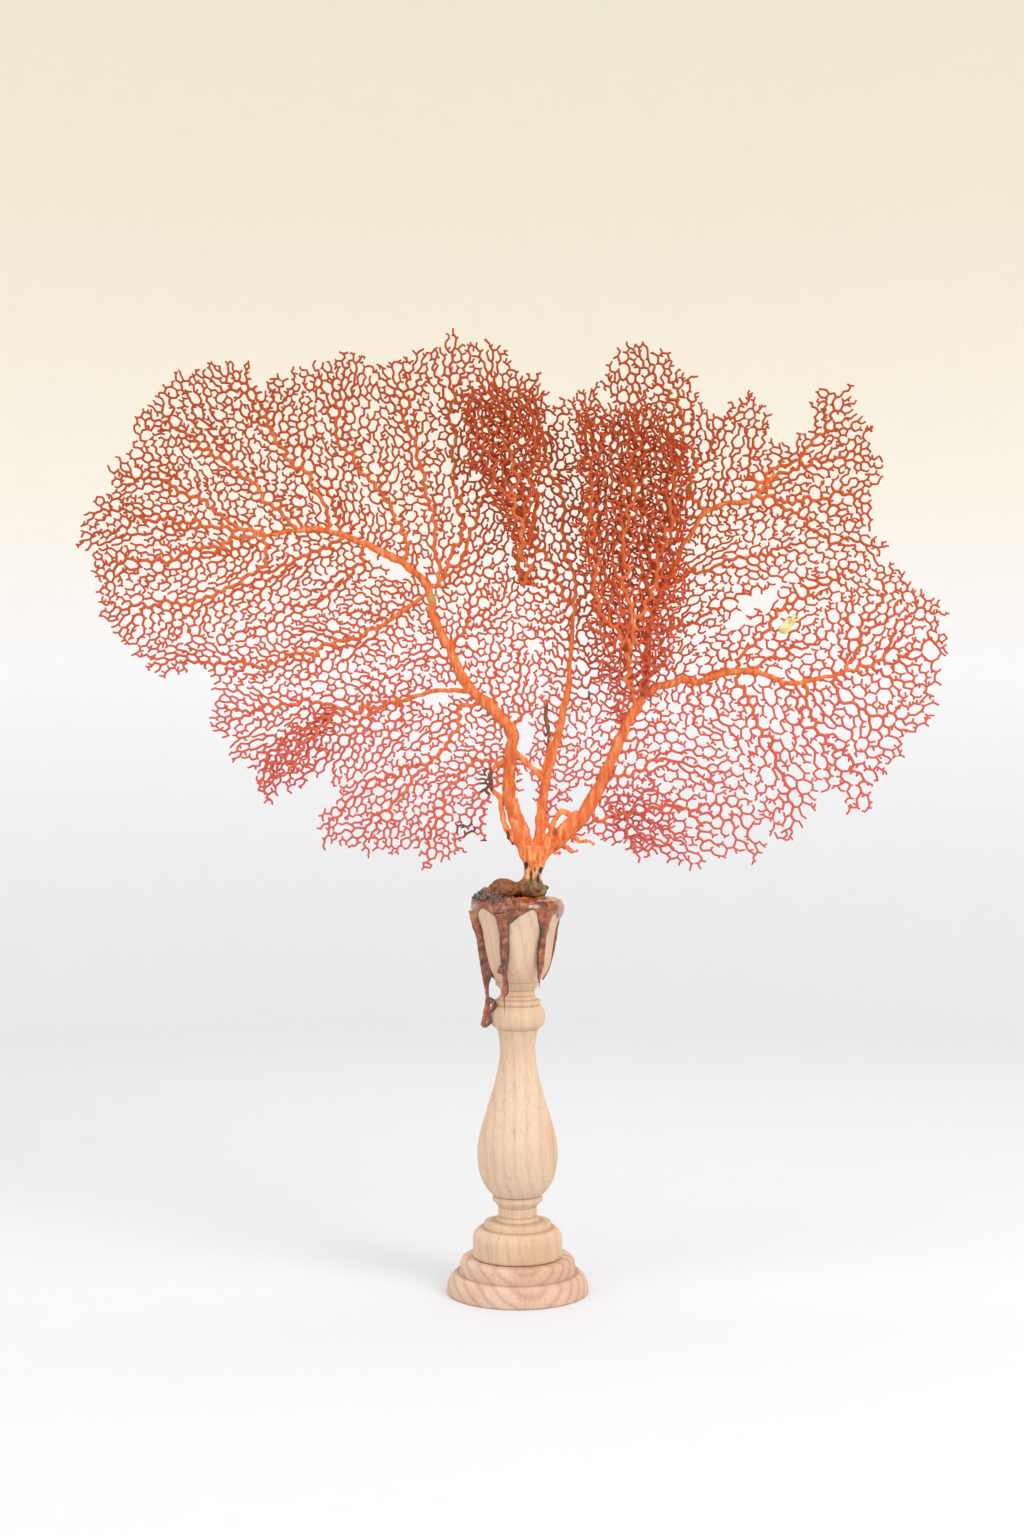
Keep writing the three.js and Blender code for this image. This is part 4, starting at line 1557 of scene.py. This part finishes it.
def bark(name):
    sheet = Sheet(name)
    place = sheet.place()
    x, y, up = sheet.parts(place)
    ragged = (sheet.grain(place, 300, 3) - 0.5) * (5 * MM)
    height = up + ragged
    streak = sheet.grain(place, 420, 4, 0.65, stretch=(1, 1, 0.16))
    orange = limb_tone(sheet, streak)
    peach = sheet.ramp(streak, [(0.3, linear(196, 120, 70)), (0.55, linear(240, 176, 124)),
                                (0.8, linear(252, 214, 176))])
    brown = sheet.ramp(sheet.grain(place, 260, 5, 0.65), [
        (0.3, linear(52, 30, 16)),
        (0.48, linear(122, 72, 40)),
        (0.62, linear(158, 98, 58)),
        (0.8, linear(196, 142, 96)),
    ])
    olive = sheet.ramp(sheet.grain(place, 340, 5, 0.6), [
        (0.3, linear(58, 50, 30)),
        (0.5, linear(112, 98, 58)),
        (0.75, linear(168, 150, 104)),
    ])
    green = (x + ragged * 3).over(1 * MM, 8 * MM) * sheet.grain(place, 150, 3).over(0.4, 0.56)
    crust = sheet.blend(green * 0.85, brown, olive)
    tone = sheet.blend(height.over(230 * MM, 232.5 * MM) * x.over(1 * MM, 3 * MM), crust, peach)
    tone = sheet.blend(height.over(234 * MM, 240 * MM), tone, orange)
    edge = sheet.grain(place, 700, 2)
    for centre, half, strength in SCARS:
        tone = sheet.blend(patch(x, up, edge, centre, half) * strength, tone, linear(46, 28, 22))
    relief = streak * 0.8 + sheet.grain(place, 1000, 3, 0.6) * 0.4
    return sheet.finish(
        Base_Color=tone,
        Roughness=0.5 + streak * 0.25,
        Specular_IOR_Level=0.35,
        Normal=sheet.bump(relief, 0.6, 0.0006),
    )


hand_over(trunk, "trunk", bark("trunk_bark"))

# %% [markdown]
# ## Glue
# The fan was set in the cup with hot brown glue, far too much of it. It lies in a bubbly
# pool on the rim, thins out to a film over the edge, and runs down the cup in four drips
# that end in beads and fine strings. The film is a turned shell whose lower edge wanders
# with the angle. The drips follow the wall of the cup and then hang free.

# %% Glue shell
cup_outline = [(r / MM, z / MM) for r, z in outline_of("candlestick")]
RIM_TOP = max(z for r, z in cup_outline)
LOBES = [(-78, 17, 8.5), (-15, 21, 9), (-19, 10, 15), (44, 17, 7), (36, 9, 13), (70, 12, 7), (92, 10, 8),
         (128, 18, 4), (176, 24, 6.5), (-132, 20, 5)]


def cup_radius(height):
    """Outside radius of the cup at a height."""
    outside = [(z, r) for r, z in cup_outline if z > RIM_TOP - 60 and r > 11.5]
    outside.sort()
    return float(np.interp(height, [z for z, _ in outside], [r for _, r in outside]))


def skirt(angle):
    """How far down the film reaches at an angle in degrees, seen from the front."""
    reach = 2.6 + 0.9 * soft_noise((angle / 14, 3, 0))
    for centre, wide, deep in LOBES:
        apart = (angle - centre + 180) % 360 - 180
        wave = 0.5 * soft_noise((angle / 5, 1, 7))
        reach = max(reach, 2.6 + deep * math.exp(-(apart / wide) ** 2) + wave)
    return RIM_TOP - reach


SHELL_SIDES = 220
rows = []
for k in range(SHELL_SIDES):
    angle = 360 * k / SHELL_SIDES - 180
    low = skirt(angle)
    rim = cup_radius(RIM_TOP - 1.5)
    pool = [(r, RIM_TOP + 1.9 + 0.8 * soft_noise((r * math.sin(math.radians(angle)) / 5,
                                                 r * math.cos(math.radians(angle)) / 5, 2)))
            for r in (0, 6, 12, 17, 21)]
    edge = [(rim - 2.2, RIM_TOP + 1.5), (rim - 0.4, RIM_TOP + 0.9), (rim + 0.6, RIM_TOP - 0.4)]
    wall = []
    for t in (0.15, 0.35, 0.55, 0.75, 0.9, 1.0):
        z = RIM_TOP - 0.8 + (low - RIM_TOP + 0.8) * t
        film = 0.75 + 0.45 * math.sin(math.pi * min(t * 1.1, 1)) ** 0.5 if t < 1 else 0.1
        wall.append((cup_radius(z) + film, z))
    back = [(cup_radius(z) - 1.4, z) for z in (low + 0.2, (low + RIM_TOP) / 2, RIM_TOP - 2.2)]
    inner = [(r, RIM_TOP - 1.6) for r in (20, 12, 0)]
    rows.append([*pool, *edge, *wall, *back, *inner])
shell_points, shell_faces = [], []
for k, row in enumerate(rows):
    angle = math.radians(360 * k / SHELL_SIDES - 180)
    for r, z in row:
        shell_points.append((r * math.sin(angle) * MM, -r * math.cos(angle) * MM, z * MM))
count = len(rows[0])
for k in range(SHELL_SIDES):
    n = (k + 1) % SHELL_SIDES
    for i in range(count - 1):
        shell_faces.append((k * count + i, k * count + i + 1, n * count + i + 1, n * count + i))
shell = face_outward(mesh_object("glue_shell", shell_points, shell_faces), 0.01 * MM)

# %% [markdown]
# Each drip is a tube through points that follow the wall of the cup, with its own list of
# radii, and ends in a bead. One remesh melts the film, the drips and the beads together.
# Each point then notes how far it turns sideways, so that the flanks of the glue can be darkened as
# painted shade.

# %% Drips and beads
DRIPS = [
    ([(-24.6, -8, 214), (-23.0, -7.8, 206), (-20.9, -7.6, 199), (-19.4, -7.4, 190), (-18.3, -7.2, 180),
      (-17.2, -7.1, 170), (-16.8, -7, 163), (-17.6, -7, 157), (-18.2, -7, 150.5)],
     (2.9, 2.6, 2.5, 2.6, 2.4, 1.6, 1.1, 1.7, 2.3)),
    ([(-16.8, -7, 165), (-13.6, -7.2, 163), (-13.2, -7.2, 160), (-15.8, -7.2, 157)],
     (1.0, 1.5, 1.3, 1.1)),
    ([(-16.4, -7, 156), (-15.8, -7, 151.5)], (1.4, 1.5)),
    ([(-18.6, -7.6, 192), (-16.6, -8, 185), (-14.6, -8.2, 179), (-13.4, -8.4, 176.5)],
     (1.6, 2.0, 1.4, 0.6)),
    ([(-17.4, -7.4, 184), (-16, -7.8, 178), (-16.8, -7.4, 172)], (1.8, 1.6, 1.0)),
    ([(-9, -23.4, 214), (-7.6, -21.6, 205), (-7.4, -20.6, 196), (-7.2, -19.8, 188), (-7.2, -19.2, 179),
      (-6.6, -18.9, 174), (-6.8, -18.7, 169.5)], (4.4, 3.4, 2.7, 2.8, 2.0, 1.4, 2.0)),
    ([(-9, -19.4, 184), (-9.8, -18.9, 181)], (1.3, 1.6)),
    ([(-7.6, -18.8, 168), (-7.2, -18.7, 162), (-6.9, -18.7, 156.5)], (0.8, 0.45, 0.3)),
    ([(16.2, -19.2, 214), (14.9, -18.0, 205), (13.6, -17.8, 197), (12.8, -17.7, 188), (12.3, -17.6, 182),
      (11.9, -17.4, 177.5)], (3.6, 2.5, 2.1, 2.4, 2.2, 1.0)),
    ([(11.9, -17.4, 177), (12.3, -17.4, 171), (12.8, -17.4, 166)], (0.6, 0.38, 0.28)),
    ([(24.0, 7.6, 214), (22.2, 7.2, 204), (20.8, 7, 194), (19.2, 6.8, 186), (17, 6.4, 179),
      (14.4, 6, 174)], (1.6, 1.2, 1.0, 0.9, 0.8, 0.7)),
]
BEADS = [
    ((-17.5, -8, 221.5), (5.2, 5.4, 3.4)), ((-12, -11, 221), (4.2, 4, 2.6)),
    ((-20.5, -2, 220.5), (4, 5, 2.4)), ((-10, -7, 223.5), (3.4, 3, 2.6)),
    ((-15, 2, 221.5), (5, 6, 3)), ((-18.8, -11.4, 219.6), (2.4, 2.4, 1.8)),
    ((5, -15, 220), (6, 4, 1.6)), ((14, -9, 220), (5, 5, 1.8)), ((-4, -18, 219.8), (4, 3, 1.5)),
]
masses = [shell]
for run, radii in DRIPS:
    path = along(run, 0.8)
    thick = spread_radii(radii, len(path))
    uneven = np.array([soft_noise((k / 3, run[0][0], 0)) for k in range(len(path))])
    thick = thick * (1 + 0.12 * uneven)
    masses.append(tube("drip", path, thick, 0.8))
    masses.append(egg("bead", path[-1], (thick[-1] * 1.05,) * 3, 12))
masses += [egg("bead", centre, half) for centre, half in BEADS]
glue = fuse(joined("poured_glue", masses), VOXEL, 2)


def glue_lumps(x, y, z):
    """A soft swell everywhere, and bubbles in the pool on the left of the rim."""
    bubbly = min(max((z - 216.5) / 3, 0), 1) * min(max((8 - x) / 12, 0), 1)
    bubbles = abs(soft_noise((x * 0.75, y * 0.75, z * 0.75))) * 2.4 * bubbly
    return soft_noise((x * 0.3, y * 0.3, z * 0.2)) * 0.25 + bubbles


swell(glue, glue_lumps)
# Painted shade: how far each point turns sideways, which the glue's colour uses to darken its flanks.
shaded_flank = []
for vertex in glue.data.vertices:
    outward = Vector((vertex.co.x, vertex.co.y, 0)).normalized()
    shaded_flank.append(1 - abs(vertex.normal.dot(outward)) if vertex.co.z < (RIM_TOP - 2) * MM else 0)
set_girth(glue, shaded_flank)


# %% [markdown]
# Thick glue is brown and thin glue is orange, and the flanks of the drips are darkened as painted
# shade. Small bubbles show as dark dots, and the foam on the left is darker still, with pale
# sparks that are painted highlights. A clear coat gives the wet shine.

# %% Glue colours
def glossy_glue(name):
    sheet = Sheet(name)
    place = sheet.place()
    x, _, up = sheet.parts(place)
    cloud = sheet.grain(place, 300, 4, 0.6)
    shaded_flank = sheet.node("ShaderNodeAttribute", {"attribute_name": "girth"}, {}, "Fac")
    tone = sheet.ramp(cloud, [
        (0.30, linear(46, 18, 8)),
        (0.43, linear(108, 46, 16)),
        (0.56, linear(158, 76, 26)),
        (0.72, linear(208, 124, 58)),
    ])
    film = (x * x) ** 0.5
    # Painted shade: the flanks of the drips are darkened, less so toward the left and right of the cup.
    painted_flank_shade = shaded_flank.over(0.2, 0.6) * (0.85 - film.over(13 * MM, 17 * MM) * 0.6)
    tone = sheet.blend(painted_flank_shade, tone, linear(40, 16, 12))
    thin = film.over(20 * MM, 24 * MM) * up.over(205 * MM, 209 * MM)
    thin = thin * (1 - up.over(218 * MM, 220 * MM))
    tone = sheet.blend(thin * (0.3 + cloud * 0.7), tone, linear(190, 128, 84))
    pits = sheet.cells(place, 760)
    tone = sheet.blend((1 - pits.over(0.12, 0.3)) * 0.8, tone, linear(30, 12, 6))
    foam_and_glints = (1 - (x + cloud * (10 * MM)).over(-4 * MM, 2 * MM)) * up.over(218 * MM, 220.5 * MM)
    tone = sheet.blend(foam_and_glints * 0.75, tone, linear(38, 18, 10))
    # Painted highlights: pale sparks in the foam on the left stand for glints of light.
    tone = sheet.blend(foam_and_glints * (1 - sheet.cells(place, 700).over(0.1, 0.26)), tone, linear(212, 168, 128))
    relief = pits.over(0.0, 0.5) * 0.7 + sheet.grain(place, 700, 2) * 0.3
    return sheet.finish(
        Base_Color=tone,
        Roughness=0.1 + cloud * 0.14,
        Specular_IOR_Level=0.6,
        Coat_Weight=0.6,
        Coat_Roughness=0.05,
        Normal=sheet.bump(relief, 0.3, 0.0006),
    )


hand_over(glue, "glue", glossy_glue("brown_glue"))

# %% [markdown]
# ## A pale chip
# A flake of something pale is caught between the twigs on the right: a thin three-cornered
# scale, slightly cupped, with a ragged edge.

# %% Chip
chip_low, chip_high = size_of("pale_chip")
CHIP_EDGE = [(0.04, 0.10), (0.30, 0.0), (0.52, 0.10), (0.66, 0.34), (0.98, 0.72), (0.86, 0.98),
             (0.62, 0.82), (0.40, 0.74), (0.22, 0.48), (0.02, 0.34)]
rim_points = along(CHIP_EDGE + CHIP_EDGE[:1], 0.05)[:-1]
middle = rim_points.mean(axis=0)
chip_points, chip_faces = [], []
RINGS = 5
for face_side in (0, 1):
    for ring in range(RINGS):
        share = 1 - ring / RINGS
        for u, v in (rim_points - middle) * share + middle:
            x = chip_low.x + u * (chip_high.x - chip_low.x)
            z = chip_low.z + v * (chip_high.z - chip_low.z)
            cup = 0.5 * share ** 2 + 0.25 * soft_noise((u * 4, v * 4, 0))
            y = (chip_low.y + chip_high.y) / 2 + (cup + (0.35 if face_side else -0.35)) * MM
            chip_points.append((x, y, z))
n = len(rim_points)
for face_side in (0, 1):
    base = face_side * RINGS * n
    for ring in range(RINGS - 1):
        for k in range(n):
            a, b = base + ring * n + k, base + ring * n + (k + 1) % n
            quad = (a, b, b + n, a + n)
            chip_faces.append(quad if face_side else quad[::-1])
    cap = tuple(base + (RINGS - 1) * n + k for k in range(n))
    chip_faces.append(cap if face_side else cap[::-1])
for k in range(n):
    chip_faces.append((k, (k + 1) % n, RINGS * n + (k + 1) % n, RINGS * n + k))
chip = face_outward(mesh_object("cupped_chip", chip_points, chip_faces))
flake = Sheet("pale_flake")
where = flake.place()
flake_tone = flake.ramp(flake.grain(where, 380, 4, 0.6), [
    (0.3, linear(170, 156, 100)),
    (0.5, linear(216, 206, 148)),
    (0.75, linear(240, 232, 182)),
])
scale = flake.finish(
    Base_Color=flake_tone,
    Roughness=0.45 + flake.grain(where, 500, 2) * 0.2,
    Specular_IOR_Level=0.4,
    Normal=flake.bump(flake.grain(where, 800, 3), 0.4, 0.0003),
)
hand_over(chip, "pale_chip", scale)

# %% [markdown]
# ## Sizes
# The box that the solids fill is printed.

# %% Sizes and finish
print("solids", [round(v, 4) for v in (*cad_low, *cad_high)])
